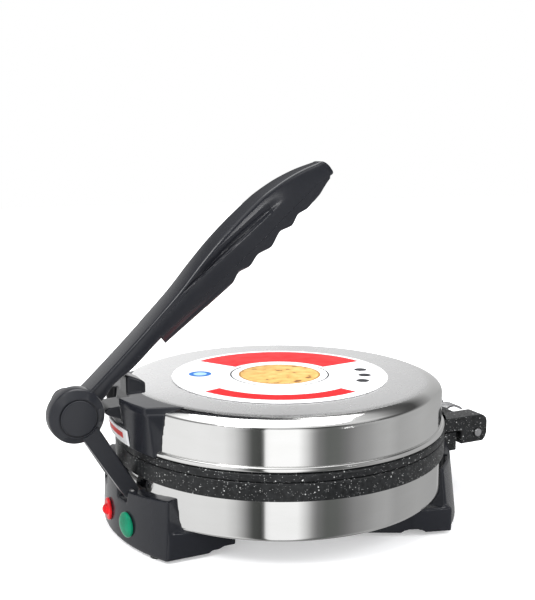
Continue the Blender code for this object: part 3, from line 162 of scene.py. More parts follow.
def fillet(points, radii, count=5):
    """An open outline whose inner corners are rounded by the radii given for them."""
    rounded = [points[0]]
    for i in range(1, len(points) - 1):
        here = Vector(points[i])
        radius = radii[i - 1]
        before, after = Vector(points[i - 1]) - here, Vector(points[i + 1]) - here
        if radius <= 0:
            rounded.append(points[i])
            continue
        reach = min(radius, before.length * 0.49, after.length * 0.49)
        first, last = here + before.normalized() * reach, here + after.normalized() * reach
        for k in range(count + 1):
            t = k / count
            point = first * (1 - t) ** 2 + here * 2 * t * (1 - t) + last * t ** 2
            rounded.append((point.x, point.y))
    rounded.append(points[-1])
    return rounded


def turned(rings, steps):
    """A closed outline of (radius, height) spun round Z."""
    bm = bmesh.new()
    verts = [bm.verts.new((radius, 0, height)) for radius, height in rings]
    pairs = list(zip(verts, verts[1:]))
    if rings[0][0] > 0 or rings[-1][0] > 0:
        pairs.append((verts[-1], verts[0]))
    edges = [bm.edges.new(pair) for pair in pairs]
    bmesh.ops.spin(bm, geom=verts + edges, cent=(0, 0, 0), axis=(0, 0, 1), angle=math.tau,
                   steps=steps, use_merge=True)
    bmesh.ops.remove_doubles(bm, verts=bm.verts, dist=0.000002)
    return bm


def lofted(sections):
    bm = bmesh.new()
    loops = [[bm.verts.new(point) for point in section] for section in sections]
    count = len(loops[0])
    for near, far in zip(loops, loops[1:]):
        for i in range(count):
            j = (i + 1) % count
            bm.faces.new((near[i], near[j], far[j], far[i]))
    bm.faces.new(loops[0])
    bm.faces.new(loops[-1][::-1])
    return bm


def swept(profile, start, end, steps):
    """A closed outline of (radius, height) turned about Z from one angle to another."""
    sections = []
    for i in range(steps + 1):
        angle = start + (end - start) * i / steps
        direction = Vector((math.cos(angle), math.sin(angle), 0))
        sections.append([direction * radius + Vector((0, 0, height)) for radius, height in profile])
    return lofted(sections)


def upright_prism(outline, low, high):
    return lofted([[(x, y, z) for x, y in outline] for z in (low, high)])


def side_prism(outline, near, far):
    return lofted([[(x, y, z) for x, z in outline] for y in (near, far)])


def box(x0, x1, y0, y1, z0, z1):
    return upright_prism(((x0, y0), (x1, y0), (x1, y1), (x0, y1)), z0, z1)


def cross_rod(radius, near, far, steps):
    outline = arc((0, 0), radius, 0, math.tau * (steps - 1) / steps, steps)
    return side_prism(outline, near, far)


def radial(radius, angle, height):
    return (radius * math.cos(angle), radius * math.sin(angle), height)


def outward(angle):
    return (0, math.pi / 2, angle)


# ---------------------------------------------------------------- materials
class Look:
    """A principled material on object coordinates, and helpers to fill it."""

    def __init__(self, name, colour, roughness, metallic=0.0, **values):
        self.material = bpy.data.materials.new(name)
        self.material.use_nodes = True
        self.tree = self.material.node_tree
        self.shader = self.tree.nodes["Principled BSDF"]
        self.put("Base Color", (*colour, 1))
        self.put("Roughness", roughness)
        self.put("Metallic", metallic)
        for key, value in values.items():
            self.put(key.replace("_", " "), value)
        self.coords = self.node("ShaderNodeTexCoord").outputs["Object"]

    def put(self, socket, value):
        self.shader.inputs[socket].default_value = value

    def node(self, kind, **settings):
        node = self.tree.nodes.new(kind)
        for key, value in settings.items():
            setattr(node, key, value)
        return node

    def link(self, output, target):
        self.tree.links.new(output, target)

    def noise(self, scale, detail=3.0, stretch=None):
        node = self.node("ShaderNodeTexNoise")
        node.inputs["Scale"].default_value = scale
        node.inputs["Detail"].default_value = detail
        source = self.coords
        if stretch:
            mapping = self.node("ShaderNodeMapping")
            mapping.inputs["Scale"].default_value = stretch
            self.link(source, mapping.inputs["Vector"])
            source = mapping.outputs["Vector"]
        self.link(source, node.inputs["Vector"])
        return node.outputs["Fac"]

    def cells(self, scale):
        node = self.node("ShaderNodeTexVoronoi")
        node.inputs["Scale"].default_value = scale
        self.link(self.coords, node.inputs["Vector"])
        return node

    def ramp(self, source, stops):
        node = self.node("ShaderNodeValToRGB")
        elements = node.color_ramp.elements
        while len(elements) < len(stops):
            elements.new(0.5)
        for element, (position, colour) in zip(elements, stops):
            element.position = position
            if not hasattr(colour, "__len__"):
                colour = (colour, colour, colour)
            element.color = (*colour, 1)
        self.link(source, node.inputs["Fac"])
        return node.outputs["Color"]

    def calc(self, operation, first, second):
        node = self.node("ShaderNodeMath", operation=operation)
        for socket, value in zip(node.inputs, (first, second)):
            if isinstance(value, (int, float)):
                socket.default_value = value
            else:
                self.link(value, socket)
        return node.outputs["Value"]

    def mix(self, factor, first, second):
        node = self.node("ShaderNodeMix", data_type="RGBA")
        for socket, value in ((node.inputs[0], factor), (node.inputs[6], first), (node.inputs[7], second)):
            if isinstance(value, (int, float)):
                socket.default_value = value
            elif isinstance(value, tuple):
                socket.default_value = (*value, 1)
            else:
                self.link(value, socket)
        return node.outputs[2]

    def colour(self, output):
        self.link(output, self.shader.inputs["Base Color"])

    def roughness(self, output):
        self.link(output, self.shader.inputs["Roughness"])

    def bump(self, height, strength, distance):
        node = self.node("ShaderNodeBump")
        node.inputs["Strength"].default_value = strength
        node.inputs["Distance"].default_value = distance
        self.link(height, node.inputs["Height"])
        self.link(node.outputs["Normal"], self.shader.inputs["Normal"])


def steel_wall():
    look = Look("polished_steel", (0.80, 0.80, 0.79), 0.08, 1.0, Anisotropic=0.5, Anisotropic_Rotation=0.25)
    cloud = look.noise(25, 2, (1, 1, 4))
    look.colour(look.ramp(cloud, ((0.3, (0.785, 0.785, 0.775)), (0.7, (0.815, 0.815, 0.81)))))
    look.roughness(look.ramp(look.noise(45, 3), ((0.3, 0.060), (0.75, 0.095))))
    tangent = look.node("ShaderNodeTangent", direction_type="RADIAL", axis="Z")
    look.link(tangent.outputs["Tangent"], look.shader.inputs["Tangent"])
    return look.material


def steel_top():
    look = Look("satin_steel_top", (0.82, 0.82, 0.82), 0.27, 1.0)
    grain = look.noise(60, 3)
    look.colour(look.ramp(grain, ((0.3, (0.81, 0.81, 0.815)), (0.7, (0.835, 0.835, 0.835)))))
    look.roughness(look.ramp(grain, ((0.3, 0.255), (0.7, 0.285))))
    return look.material


def granite():
    look = Look("speckled_coating", (0.010, 0.011, 0.012), 0.42, 0.0, Specular_IOR_Level=0.30)
    fine, coarse = look.cells(900), look.cells(420)
    patch = look.noise(160, 2)
    small = look.ramp(fine.outputs["Distance"], ((0.0, 1.0), (0.16, 0.75), (0.24, 0.0)))
    large = look.ramp(coarse.outputs["Distance"], ((0.0, 1.0), (0.13, 0.8), (0.21, 0.0)))
    chance = look.node("ShaderNodeSeparateColor")
    look.link(fine.outputs["Color"], chance.inputs["Color"])
    chance_large = look.node("ShaderNodeSeparateColor")
    look.link(coarse.outputs["Color"], chance_large.inputs["Color"])
    keep_small = look.calc("GREATER_THAN", chance.outputs["Red"], 0.52)
    keep_large = look.calc("GREATER_THAN", chance_large.outputs["Green"], 0.66)
    clumps = look.ramp(patch, ((0.38, 0.25), (0.62, 1.0)))
    specks = look.calc("MULTIPLY", look.calc("MULTIPLY", small, keep_small), clumps)
    specks = look.calc("MAXIMUM", specks, look.calc("MULTIPLY", large, keep_large))
    base = look.ramp(look.noise(300, 3), ((0.35, (0.006, 0.0065, 0.007)), (0.7, (0.016, 0.017, 0.018))))
    tint = look.ramp(chance.outputs["Blue"], ((0.0, (0.30, 0.30, 0.29)), (1.0, (0.85, 0.86, 0.85))))
    look.colour(look.mix(specks, base, tint))
    look.roughness(look.ramp(look.noise(500, 3), ((0.3, 0.30), (0.7, 0.50))))
    look.bump(look.noise(1100, 2), 0.25, 0.0002)
    return look.material


def plastic():
    look = Look("black_plastic", (0.014, 0.015, 0.019), 0.21, 0.0, Specular_IOR_Level=0.34)
    cloud = look.noise(25, 3)
    look.colour(look.ramp(cloud, ((0.3, (0.0130, 0.0140, 0.0178)), (0.7, (0.0152, 0.0162, 0.0200)))))
    look.roughness(look.ramp(look.noise(60, 3), ((0.3, 0.19), (0.7, 0.23))))
    return look.material


def rubber():
    look = Look("rubber", (0.02, 0.02, 0.02), 0.85)
    look.colour(look.ramp(look.noise(200, 3), ((0.3, 0.014), (0.7, 0.026))))
    look.bump(look.noise(1500, 2), 0.3, 0.0002)
    return look.material


def lens(name, deep, bright):
    look = Look(name, bright, 0.2, 0.0, Specular_IOR_Level=0.22)
    look.colour(look.ramp(look.noise(220, 2), ((0.35, deep), (0.65, bright))))
    # Painted glow: a faint emission in the bright lens colour lightens the lens, though the lamp is not lit.
    look.put("Emission Color", (*bright, 1))
    look.put("Emission Strength", 0.06)
    look.roughness(look.ramp(look.noise(300, 2), ((0.3, 0.14), (0.7, 0.24))))
    return look.material


def zinc():
    look = Look("zinc_plate", (0.50, 0.50, 0.51), 0.32, 1.0)
    grain = look.noise(260, 4)
    look.colour(look.ramp(grain, ((0.3, (0.40, 0.40, 0.42)), (0.7, (0.58, 0.58, 0.58)))))
    look.roughness(look.ramp(grain, ((0.3, 0.26), (0.7, 0.42))))
    return look.material


def dark_tube():
    look = Look("oxidised_tube", (0.12, 0.11, 0.10), 0.5, 0.6)
    look.colour(look.ramp(look.noise(120, 4), ((0.3, (0.09, 0.08, 0.075)), (0.7, (0.16, 0.14, 0.125)))))
    return look.material


def ceramic():
    look = Look("ceramic", (0.75, 0.72, 0.66), 0.6)
    look.colour(look.ramp(look.noise(150, 3), ((0.3, (0.70, 0.67, 0.61)), (0.7, (0.79, 0.76, 0.70)))))
    return look.material


def moulded_white():
    look = Look("white_block", (0.8, 0.8, 0.79), 0.45)
    look.colour(look.ramp(look.noise(120, 3), ((0.3, (0.76, 0.76, 0.75)), (0.7, (0.83, 0.83, 0.82)))))
    return look.material


def printed_film():
    """A white disc with two red arcs, a blue ring, three dark dots and a flatbread in the middle."""
    look = Look("printed_film", (0.9, 0.9, 0.9), 0.5, 0.0, Specular_IOR_Level=0.12)
    split = look.node("ShaderNodeSeparateXYZ")
    look.link(look.coords, split.inputs["Vector"])
    x, y = split.outputs["X"], split.outputs["Y"]

    def distance_of(dx, dy):
        squares = look.calc("ADD", look.calc("MULTIPLY", dx, dx), look.calc("MULTIPLY", dy, dy))
        return look.calc("SQRT", squares, 0)

    radius = distance_of(x, y)
    angle = look.calc("ARCTAN2", y, x)

    def ring(low, high):
        inside = look.calc("LESS_THAN", radius, high)
        return look.calc("MULTIPLY", look.calc("GREATER_THAN", radius, low), inside)

    def sector(middle, half):
        turn = look.calc("COSINE", look.calc("SUBTRACT", angle, middle), 0)
        return look.calc("GREATER_THAN", turn, math.cos(half))

    def dot(distance, at, size):
        return spot((distance * math.cos(at), distance * math.sin(at)), size)

    def spot(centre, size):
        dx = look.calc("SUBTRACT", x, centre[0])
        dy = look.calc("SUBTRACT", y, centre[1])
        return look.calc("LESS_THAN", distance_of(dx, dy), size)

    colour = look.ramp(look.noise(30, 2), ((0.3, (0.95, 0.95, 0.95)), (0.7, (0.99, 0.99, 0.99))))
    red, blue, dark = (0.80, 0.010, 0.014), (0.004, 0.17, 0.60), (0.03, 0.03, 0.035)
    back, left = 1.13, 2.70
    wide = look.calc("MULTIPLY", ring(0.041, 0.0770), sector(back, 0.98))
    colour = look.mix(wide, colour, red)
    narrow = look.calc("MULTIPLY", ring(0.060, 0.0735), sector(back + math.pi, 0.80))
    colour = look.mix(narrow, colour, red)
    colour = look.mix(dot(0.0600, left, 0.0085), colour, blue)
    colour = look.mix(dot(0.0600, left, 0.0050), colour, (0.45, 0.70, 0.92))
    for at in (back - 1.35, back - 1.62, back - 1.89):
        colour = look.mix(dot(0.0640, at, 0.0048), colour, dark)
    crumb = look.noise(140, 4)
    bread = look.ramp(crumb, ((0.35, (0.78, 0.50, 0.17)), (0.60, (0.66, 0.37, 0.10)),
                              (0.68, (0.24, 0.10, 0.03))))
    colour = look.mix(spot((0, 0), 0.030), colour, bread)
    colour = look.mix(ring(0.0292, 0.0308), colour, (0.42, 0.22, 0.06))
    thin = look.calc("MULTIPLY", ring(0.0362, 0.0374), sector(back + math.pi, 2.2))
    colour = look.mix(thin, colour, dark)
    look.colour(colour)
    look.roughness(look.ramp(look.noise(90, 2), ((0.3, 0.45), (0.7, 0.55))))
    return look.material


def panel_film():
    """White film with one red bar across it."""
    look = Look("panel_film", (0.9, 0.9, 0.9), 0.45, 0.0, Specular_IOR_Level=0.2)
    split = look.node("ShaderNodeSeparateXYZ")
    look.link(look.coords, split.inputs["Vector"])
    y, z = split.outputs["Y"], split.outputs["Z"]
    tall = look.calc("LESS_THAN", look.calc("ABSOLUTE", look.calc("SUBTRACT", z, 0.0752), 0), 0.0021)
    long = look.calc("LESS_THAN", look.calc("ABSOLUTE", y, 0), 0.0165)
    white = look.ramp(look.noise(60, 2), ((0.3, (0.86, 0.86, 0.86)), (0.7, (0.92, 0.92, 0.92))))
    look.colour(look.mix(look.calc("MULTIPLY", tall, long), white, (0.75, 0.07, 0.06)))
    return look.material


LOOKS = {
    "steel_shell": steel_wall(),
    "steel_top": steel_top(),
    "granite_coat": granite(),
    "black_plastic": plastic(),
    "rubber": rubber(),
    "red_lens": lens("red_lens", (0.50, 0.004, 0.008), (0.80, 0.012, 0.018)),
    "green_lens": lens("green_lens", (0.0, 0.15, 0.075), (0.0, 0.225, 0.115)),
    "label": printed_film(),
    "panel": panel_film(),
    "zinc_hardware": zinc(),
    "element": dark_tube(),
    "ceramic": ceramic(),
    "terminal": moulded_white(),
}


def wear(obj, slot, body, *nodes, look=None):
    """Gives a piece its finish and its body, and hides the CAD nodes that it stands for."""
    obj.data.materials.clear()
    obj.data.materials.append(LOOKS[look or slot])
    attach(obj, body)
    if nodes:
        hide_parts(*nodes)
    return obj


# ---------------------------------------------------------------- drum and plates
def build_drum():
    corner = 3 * MM
    bend = (DRUM_R - corner, DRUM_Z + corner)
    outer = arc(bend, corner, 0, -math.pi / 2, 9)
    inner = arc(bend, corner - MM, -math.pi / 2, 0, 7)
    lip = DRUM_R - corner - 16.8 * MM
    rings = [(DRUM_R, DRUM_TOP), (DRUM_R, DRUM_Z + corner + 0.3 * MM), *outer, (lip, DRUM_Z),
             (lip, DRUM_Z + MM), *inner, (DRUM_R - MM, DRUM_TOP)]
    drum = make_object("drum_wall", turned(rings, 240))
    wear(drum, "steel_shell", "base", "base_drum")


def hinge_ear(name, outline, near, far, body, rounding=1.0):
    ear = make_object(name, side_prism(outline, near, far))
    bevelled(ear, rounding * MM, 3, 25)
    return wear(ear, "granite_coat", body)


def build_plates():
    under = JOINT_Z - 5 * MM
    rings = fillet(
        [(0, JOINT_Z), (PLATE_R, JOINT_Z), (PLATE_R, SKIRT_Z), (DRUM_R + GAP, SKIRT_Z),
         (DRUM_R + GAP, under), (0, under)],
        [1.3 * MM, 1.0 * MM, 0.4 * MM, 0.5 * MM])
    lower = make_object("lower_plate_body", turned(rings, 240))
    wear(lower, "granite_coat", "base", "lower_plate")
    face = JOINT_Z + GAP
    upstand = LID_R - MM - GAP
    rings = fillet(
        [(0, face), (PLATE_R, face), (PLATE_R, BAND_Z), (upstand, BAND_Z), (upstand, face + 16.6 * MM),
         (upstand - 7.7 * MM, face + 16.6 * MM), (upstand - 7.7 * MM, face + 5 * MM), (0, face + 5 * MM)],
        [1.3 * MM, 1.4 * MM, 0.2 * MM, 0.8 * MM, 0.8 * MM, 1.5 * MM])
    upper = make_object("upper_plate_body", turned(rings, 240))
    wear(upper, "granite_coat", "lid", "upper_plate")

    inside = DRUM_R + 1.2 * MM
    knuckle = [(inside, SKIRT_Z + MM), (inside, JOINT_Z - MM), (PLATE_R, JOINT_Z - MM),
               (EAR_NECK_X, HINGE.z + 8 * MM),
               *arc((HINGE.x, HINGE.z), 8 * MM, math.pi / 2, -math.pi / 2, 17),
               (EAR_NECK_X, HINGE.z - 8 * MM), (PLATE_R, SKIRT_Z)]
    hinge_ear("hinge_knuckle", knuckle, -19.5 * MM, 19.5 * MM, "base")
    top = SKIRT_Z - MM
    stub = [(inside, top + 3 * MM), (PLATE_R - MM, top + 3 * MM), (PLATE_R + MM, top), (EAR_NECK_X, top),
            (EAR_NECK_X, SKIRT_Z - 16 * MM), (PLATE_R, SKIRT_Z - 16 * MM), (inside, top - 3 * MM)]
    start = PLATE_R + MM
    block_top = HINGE.z + 14 * MM
    heel = HINGE.x - 15.5 * MM
    lug = [(upstand - MM, face + MM), (upstand - MM, BAND_Z - GAP), (start, BAND_Z - GAP),
           (start + 3.5 * MM, block_top), (HINGE.x + 4 * MM, block_top), (HINGE.x + 7 * MM, block_top - MM),
           (HINGE.x + 9.2 * MM, block_top - 3.2 * MM), (HINGE.x + 10 * MM, block_top - 6 * MM),
           *arc((HINGE.x, HINGE.z), 10 * MM, 0, -0.927, 8),
           (heel, HINGE.z - 8 * MM), (heel, SKIRT_Z), (start, SKIRT_Z), (start, face + MM)]
    for side, word in ((-1, "right"), (1, "left")):
        hinge_ear(f"plate_stub_{word}", stub, side * 22 * MM, side * 36 * MM, "base")
        hinge_ear(f"hinge_lug_{word}", lug, side * 20 * MM, side * LUG_END, "lid", 1.1)
    end = LUG_END + GAP
    head = fillet([(0, end + 1.5 * MM), (3.2 * MM, end + 1.5 * MM), (3.2 * MM, end), (2.5 * MM, end),
                   (2.5 * MM, -LUG_END), (0, -LUG_END)], [0.9 * MM, 0.2 * MM, 0, 0.3 * MM])
    pin = make_object("hinge_pin_turned", turned(head, 40), HINGE, (math.pi / 2, 0, 0))
    wear(pin, "zinc_hardware", "base", "hinge_pin")


def build_lid():
    bead_r = 2 * MM
    bead = (LID_R + 0.5 * MM, LID_Z + bead_r)
    start = math.acos(-0.25)
    end = -math.acos((LID_R - MM - bead[0]) / bead_r)
    outer = fillet([(LID_FLAT_R - 30 * MM, LID_TOP), (LID_FLAT_R, LID_TOP), (LID_R, LID_SHOULDER),
                    (LID_R, LID_SHOULDER - 8 * MM)], [6 * MM, 3.2 * MM], 9)
    outer.insert(-1, (LID_R, LID_SHOULDER - 3.5 * MM))
    outer.append((LID_R, bead[1] + bead_r))
    rings = [(0, LID_TOP), *outer, *arc(bead, bead_r, start, end, 15),
             (LID_R - MM, LID_SHOULDER - MM), (LID_FLAT_R, LID_TOP - MM), (0, LID_TOP - MM)]
    lid = make_object("lid_cup", turned(rings, 240), angle=0)
    wear(lid, "steel_shell", "lid", "lid_shell")
    lid.data.materials.append(LOOKS["steel_top"])
    for face in lid.data.polygons:
        middle = face.center
        if face.normal.z > 0.98 and middle.z > LID_TOP - 0.5 * MM:
            face.material_index = 1
    low = LID_TOP + GAP
    high = low + 0.4 * MM
    rings = fillet([(0, high), (LABEL_R, high), (LABEL_R, low), (0, low)], [0.3 * MM, 0.1 * MM], 3)
    wear(make_object("lid_print", turned(rings, 192)), "label", "lid", "lid_label")


# ---------------------------------------------------------------- stands and lamps
def drum_seat(ledge, wall_top):
    corner = 3 * MM
    bend = (DRUM_R - corner, DRUM_Z + corner)
    seat = DRUM_Z - GAP
    return [(ledge, STAND_FOOT_Z), (ledge, seat), *arc(bend, corner + GAP, -math.pi / 2, 0, 7),
            (DRUM_R + GAP, wall_top)]


def build_front_stand():
    half, edge = 67.5 * MM, 65.3 * MM
    profile = [(FRONT_TOP_R, FRONT_TOP_Z), (STAND_FOOT_R, STAND_FOOT_Z), *drum_seat(62 * MM, FRONT_TOP_Z)]
    spread = 2 * math.asin(half / STAND_FOOT_R)
    stand = make_object("front_stand_moulding", swept(profile, math.pi - spread, math.pi + spread, 90))
    pocket_r, wall = 116 * MM, 2.5 * MM
    pocket_half = math.asin((half - wall) / pocket_r)
    pocket = arc((0, 0), pocket_r, math.pi - pocket_half, math.pi + pocket_half, 24)
    pocket += [(-edge - wall, -half + wall), (-edge - wall, half - wall)]
    dip = []
    for y, z in ((-70, 43.0), (-58, 42.2), (-45, 40.6), (-32, 39.6),
                 (32, 39.6), (45, 40.6), (58, 42.2), (70, 43.0)):
        dip.append([(x * MM, y * MM, h * MM) for x, h in ((-150, z), (-50, z), (-50, 60), (-150, 60))])
    steps = [
        ("INTERSECT", box(-0.15, -edge, -half, half, -0.01, 0.06)),
        ("DIFFERENCE", upright_prism(pocket, -0.01, DRUM_Z - GAP - 3 * MM)),
        ("DIFFERENCE", lofted(dip)),
    ]
    for side in (-1, 1):
        edges = sorted((side * 13.5 * MM, side * 27.9 * MM))
        steps.append(("DIFFERENCE", box(-0.15, -107.8 * MM, *edges, 31 * MM, 0.06)))
        notch = [(-84 * MM, -0.01), (-84 * MM, 2.6 * MM), (-82 * MM, 3.6 * MM), (-77 * MM, 3.6 * MM),
                 (-74 * MM, 5.0 * MM), (-0.05, 5.0 * MM), (-0.05, -0.01)]
        steps.append(("DIFFERENCE", side_prism(notch, *sorted((side * 60 * MM, side * 80 * MM)))))
        # The end runs back to the drum along a slant above the ledge
        slant = []
        for z, degrees in ((20.3, 33.8), (21.5, 33.0), (24, 32.2), (29, 31.2), (43, 30.2), (60, 30.0)):
            angle = math.radians(degrees)
            near = (-117 * MM * math.cos(angle), side * 117 * MM * math.sin(angle))
            outline = [(-112.4 * MM, side * 67.3 * MM), near, (-60 * MM, side * 45 * MM),
                       (-60 * MM, side * 80 * MM), (-112.4 * MM, side * 80 * MM)]
            slant.append([(x, y, z * MM) for x, y in outline])
        steps.append(("DIFFERENCE", lofted(slant)))
    carved(stand, steps)
    moulded(stand, 0.8 * MM, 8)
    wear(stand, "black_plastic", "base", "front_stand")
    stand.visible_glossy = False


def build_lamps():
    height = 16.1 * MM
    rise = (height - STAND_FOOT_Z) / (FRONT_TOP_Z - STAND_FOOT_Z)
    wall = STAND_FOOT_R + (FRONT_TOP_R - STAND_FOOT_R) * rise
    rim = 1.8 * MM
    barrel = [(6.2 * MM, 0), (6.2 * MM, -9 * MM), (4.7 * MM, -9 * MM), (4.7 * MM, -0.4 * MM), (0, -0.4 * MM)]
    green = fillet([(0, 2.9 * MM), (3 * MM, 2.75 * MM), (6.2 * MM, 2.3 * MM), (7.6 * MM, rim),
                    (8.75 * MM, rim * 0.6), (8.75 * MM, 0)], [1 * MM, 1.5 * MM, MM, 0.8 * MM], 4)
    dome = arc((0, 0.5 * MM), 4.3 * MM, math.pi / 2, 0.3, 12)
    red = [*dome, *fillet([(4.3 * MM, rim), (6.8 * MM, rim), (8 * MM, rim * 0.6), (8 * MM, 0)],
                          [0.8 * MM, 0.6 * MM], 4)]
    for word, y, face in (("green", -29 * MM, green), ("red", 4 * MM, red)):
        angle = math.pi - math.asin(y / STAND_FOOT_R)
        seat = radial(wall + GAP, angle, height)
        obj = make_object(f"{word}_lens_turned", turned([*face, *barrel], 48), seat, outward(angle))
        wear(obj, f"{word}_lens", "base", f"{word}_lamp_lens")


def build_rear_stand():
    top = 47.6 * MM
    half_angle = math.radians(52)
    profile = [(127.8 * MM, top), (STAND_FOOT_R, STAND_FOOT_Z), *drum_seat(112 * MM, top)]
    stand = make_object("rear_stand_moulding", swept(profile, -half_angle, half_angle, 100))
    steps = []
    shares = ((1.0, 0.96), (0.98, 1.0), (0.65, 0.928), (0.152, 0.726), (0.152, 0.56), (1.08, 0.64))
    reach, width = 85.5 * MM, 106 * MM
    clear = [(118 * MM, 60 * MM), (125.3 * MM, 60 * MM), (125.0 * MM, 36 * MM), (123.8 * MM, 29 * MM),
             (121.5 * MM, 24 * MM), (118 * MM, 20.4 * MM)]
    for side in (-1, 1):
        arm = [(x * reach, side * y * width) for x, y in shares]
        steps.append(("UNION", upright_prism(arm, STAND_FOOT_Z, DRUM_Z - GAP)))
        middle = Vector((sum(p[0] for p in arm), sum(p[1] for p in arm))) / len(arm)
        hollow = [tuple(middle + (Vector(p) - middle) * 0.88) for p in arm]
        steps.append(("DIFFERENCE", upright_prism(hollow, -0.01, DRUM_Z - GAP - 3 * MM)))
        arch = [(48 * MM, -0.01), (50 * MM, 3.2 * MM), (54 * MM, 4.6 * MM), (60 * MM, 4.6 * MM),
                (65 * MM, 3.2 * MM), (68 * MM, -0.01)]
        steps.append(("DIFFERENCE", side_prism(arch, *sorted((side * 80 * MM, side * 110 * MM)))))
        steps.append(("DIFFERENCE", swept(clear, side * math.radians(38), side * math.radians(56), 24)))
    half = 39.5 * MM
    steps.append(("DIFFERENCE", box(DRUM_R - 12 * MM, 0.15, -half, half, 31 * MM, 0.06)))
    carved(stand, steps)
    moulded(stand, 0.9 * MM, 8)
    wear(stand, "black_plastic", "base", "rear_stand")
    stand.visible_glossy = False


# ---------------------------------------------------------------- lid bracket
def ring_section(outer, outer_half, inner, inner_half, z):
    """A curved bar in plan: an arc outside, an arc inside and slanting ends."""
    reach, back = math.asin(outer_half / outer), math.asin(inner_half / inner)
    points = arc((0, 0), outer, math.pi - reach, math.pi + reach, 30)
    points += arc((0, 0), inner, math.pi + back, math.pi - back, 30)
    return [(x, y, z) for x, y in points]


def build_bracket():
    foot_z = BRACKET_TOP - 4.6 * MM
    inner_r, top_r, foot_r = 111.5 * MM, 130.5 * MM, 126 * MM
    flange = [ring_section(top_r, 48.5 * MM, inner_r, 57 * MM, z) for z in (foot_z, BRACKET_TOP)]
    bracket = make_object("bracket_moulding", lofted(flange))
    body = [ring_section(foot_r, 49 * MM, 118 * MM, 51.5 * MM, LID_Z),
            ring_section(foot_r + 2.2 * MM, 49.6 * MM, 118 * MM, 53.4 * MM, LID_Z + 16 * MM),
            ring_section(top_r - GAP, 50.5 * MM, 118 * MM, 56.6 * MM, foot_z + GAP)]
    front = -121.5 * MM
    shares = ((0.0, 0.8), (0.03, 0.93), (0.09, 1.0), (0.22, 1.0), (0.5, 0.86), (0.83, 0.68), (0.96, 0.58),
              (1.0, 0.5))
    hump = [(front, foot_z + GAP)]
    hump += [(front + x * 13.7 * MM, BRACKET_TOP + z * 12.5 * MM) for x, z in shares]
    hump.append((front + 13.7 * MM, foot_z + GAP))
    nose = [(x * MM, z * MM) for x, z in ((-122.5, 94.8), (-135, 94.2), (-138.3, 92.2), (-137, 89.6),
                                          (-129, 86.2), (-122.5, 84.0))]
    lip_z = BRACKET_TOP - 14 * MM
    wall = front - 1.8 * MM
    over = BRACKET_TOP + 20 * MM
    notch = [(front, over), (front, BRACKET_TOP), (wall, lip_z), (wall - 7.7 * MM, lip_z - 8 * MM),
             (-0.15, lip_z - 8 * MM), (-0.15, over)]
    fit = LID_R + GAP
    bead = LID_R + 2.5 * MM + GAP
    clear = [(0, LID_TOP + GAP), (LID_FLAT_R + MM, LID_TOP + GAP), (fit, LID_SHOULDER + MM),
             (fit, LID_Z + 4 * MM + GAP), (bead, LID_Z + 4 * MM + GAP), (bead, LID_Z - 6 * MM),
             (0, LID_Z - 6 * MM)]
    carved(bracket, [
        ("UNION", lofted(body)),
        ("DIFFERENCE", side_prism(notch, -16 * MM, 16 * MM)),
        ("UNION", side_prism(hump, -9 * MM, 9 * MM)),
        ("UNION", side_prism(nose, -13 * MM, 13 * MM)),
        ("DIFFERENCE", turned(clear, 240)),
    ])
    moulded(bracket, 0.65 * MM, 7)
    wear(bracket, "black_plastic", "lid", "lid_bracket")
    bracket.visible_glossy = False
    top = BRACKET_TOP - 21.5 * MM
    low = top - 11 * MM

    def radius(z):
        return foot_r + (top_r - foot_r) * (z - LID_Z) / (foot_z - LID_Z)

    near, far = 0.1 * MM, 0.9 * MM
    profile = [(radius(top) + near, top), (radius(low) + near, low), (radius(low) + far, low),
               (radius(top) + far, top)]
    reach = math.radians(10.6)
    panel = make_object("bracket_film", swept(profile, math.pi - reach, math.pi + reach, 36))
    wear(bevelled(panel, 0.15 * MM, 2), "label", "lid", "bracket_panel", look="panel")


# ---------------------------------------------------------------- link arms and knob
def build_link():
    foot, head = (LINK_FOOT.x, LINK_FOOT.z), (PIVOT.x, PIVOT.z)
    along = math.atan2(head[1] - foot[1], head[0] - foot[0])
    quarter = math.pi / 2
    for word, side, head_r in (("near", -1, 6.5 * MM), ("far", 1, 4.8 * MM)):
        outline = [*arc(foot, 5.6 * MM, along + quarter, along + 3 * quarter, 20),
                   *arc(head, head_r, along - quarter, along + quarter, 20)]
        arm = make_object(f"link_arm_{word}_moulding", side_prism(outline, side * ARM_INNER, side * ARM_OUTER))
        bevelled(arm, 1.2 * MM, 4, 40)
        wear(arm, "black_plastic", "link", f"link_arm_{word}")
    inner, shoulder, face = ARM_INNER, 21 * MM, 28 * MM
    rings = fillet([(0, inner), (19.0 * MM, inner), (19.0 * MM, inner + 4 * MM),
                    (18.6 * MM, shoulder + 2.6 * MM), (13.4 * MM, face), (12.7 * MM, face),
                    (12.7 * MM, face - 0.7 * MM), (0, face - 0.7 * MM)],
                   [0.6 * MM, 1.5 * MM, 1.6 * MM, 0.25 * MM, 0.2 * MM, 0.1 * MM], 8)
    centre = PIVOT - Vector((0, 0, 1.4 * MM))
    knob = make_object("pivot_knob", turned(rings, 120), centre, (quarter, 0, 0), 40)
    wear(knob, "black_plastic", "link")
    low = face - 0.4 * MM
    rings = fillet([(0, 29.5 * MM), (11.4 * MM, 29.3 * MM), (12.1 * MM, 28.7 * MM), (12.1 * MM, low), (0, low)],
                   [1.0 * MM, 0.5 * MM, 0.1 * MM], 5)
    cap = make_object("pivot_cap_disc", turned(rings, 120), centre, (quarter, 0, 0), 40)
    wear(cap, "black_plastic", "link", "pivot_cap")
    rings = fillet([(0, 28.8 * MM), (5 * MM, 28.6 * MM), (5 * MM, 27.3 * MM), (3 * MM, 27.3 * MM),
                    (3 * MM, -28 * MM), (0, -28 * MM)], [0.8 * MM, 0.1 * MM, 0, 0.1 * MM], 4)
    pin = make_object("handle_pin_turned", turned(rings, 40), PIVOT, (-quarter, 0, 0))
    wear(pin, "zinc_hardware", "link", "handle_pin")


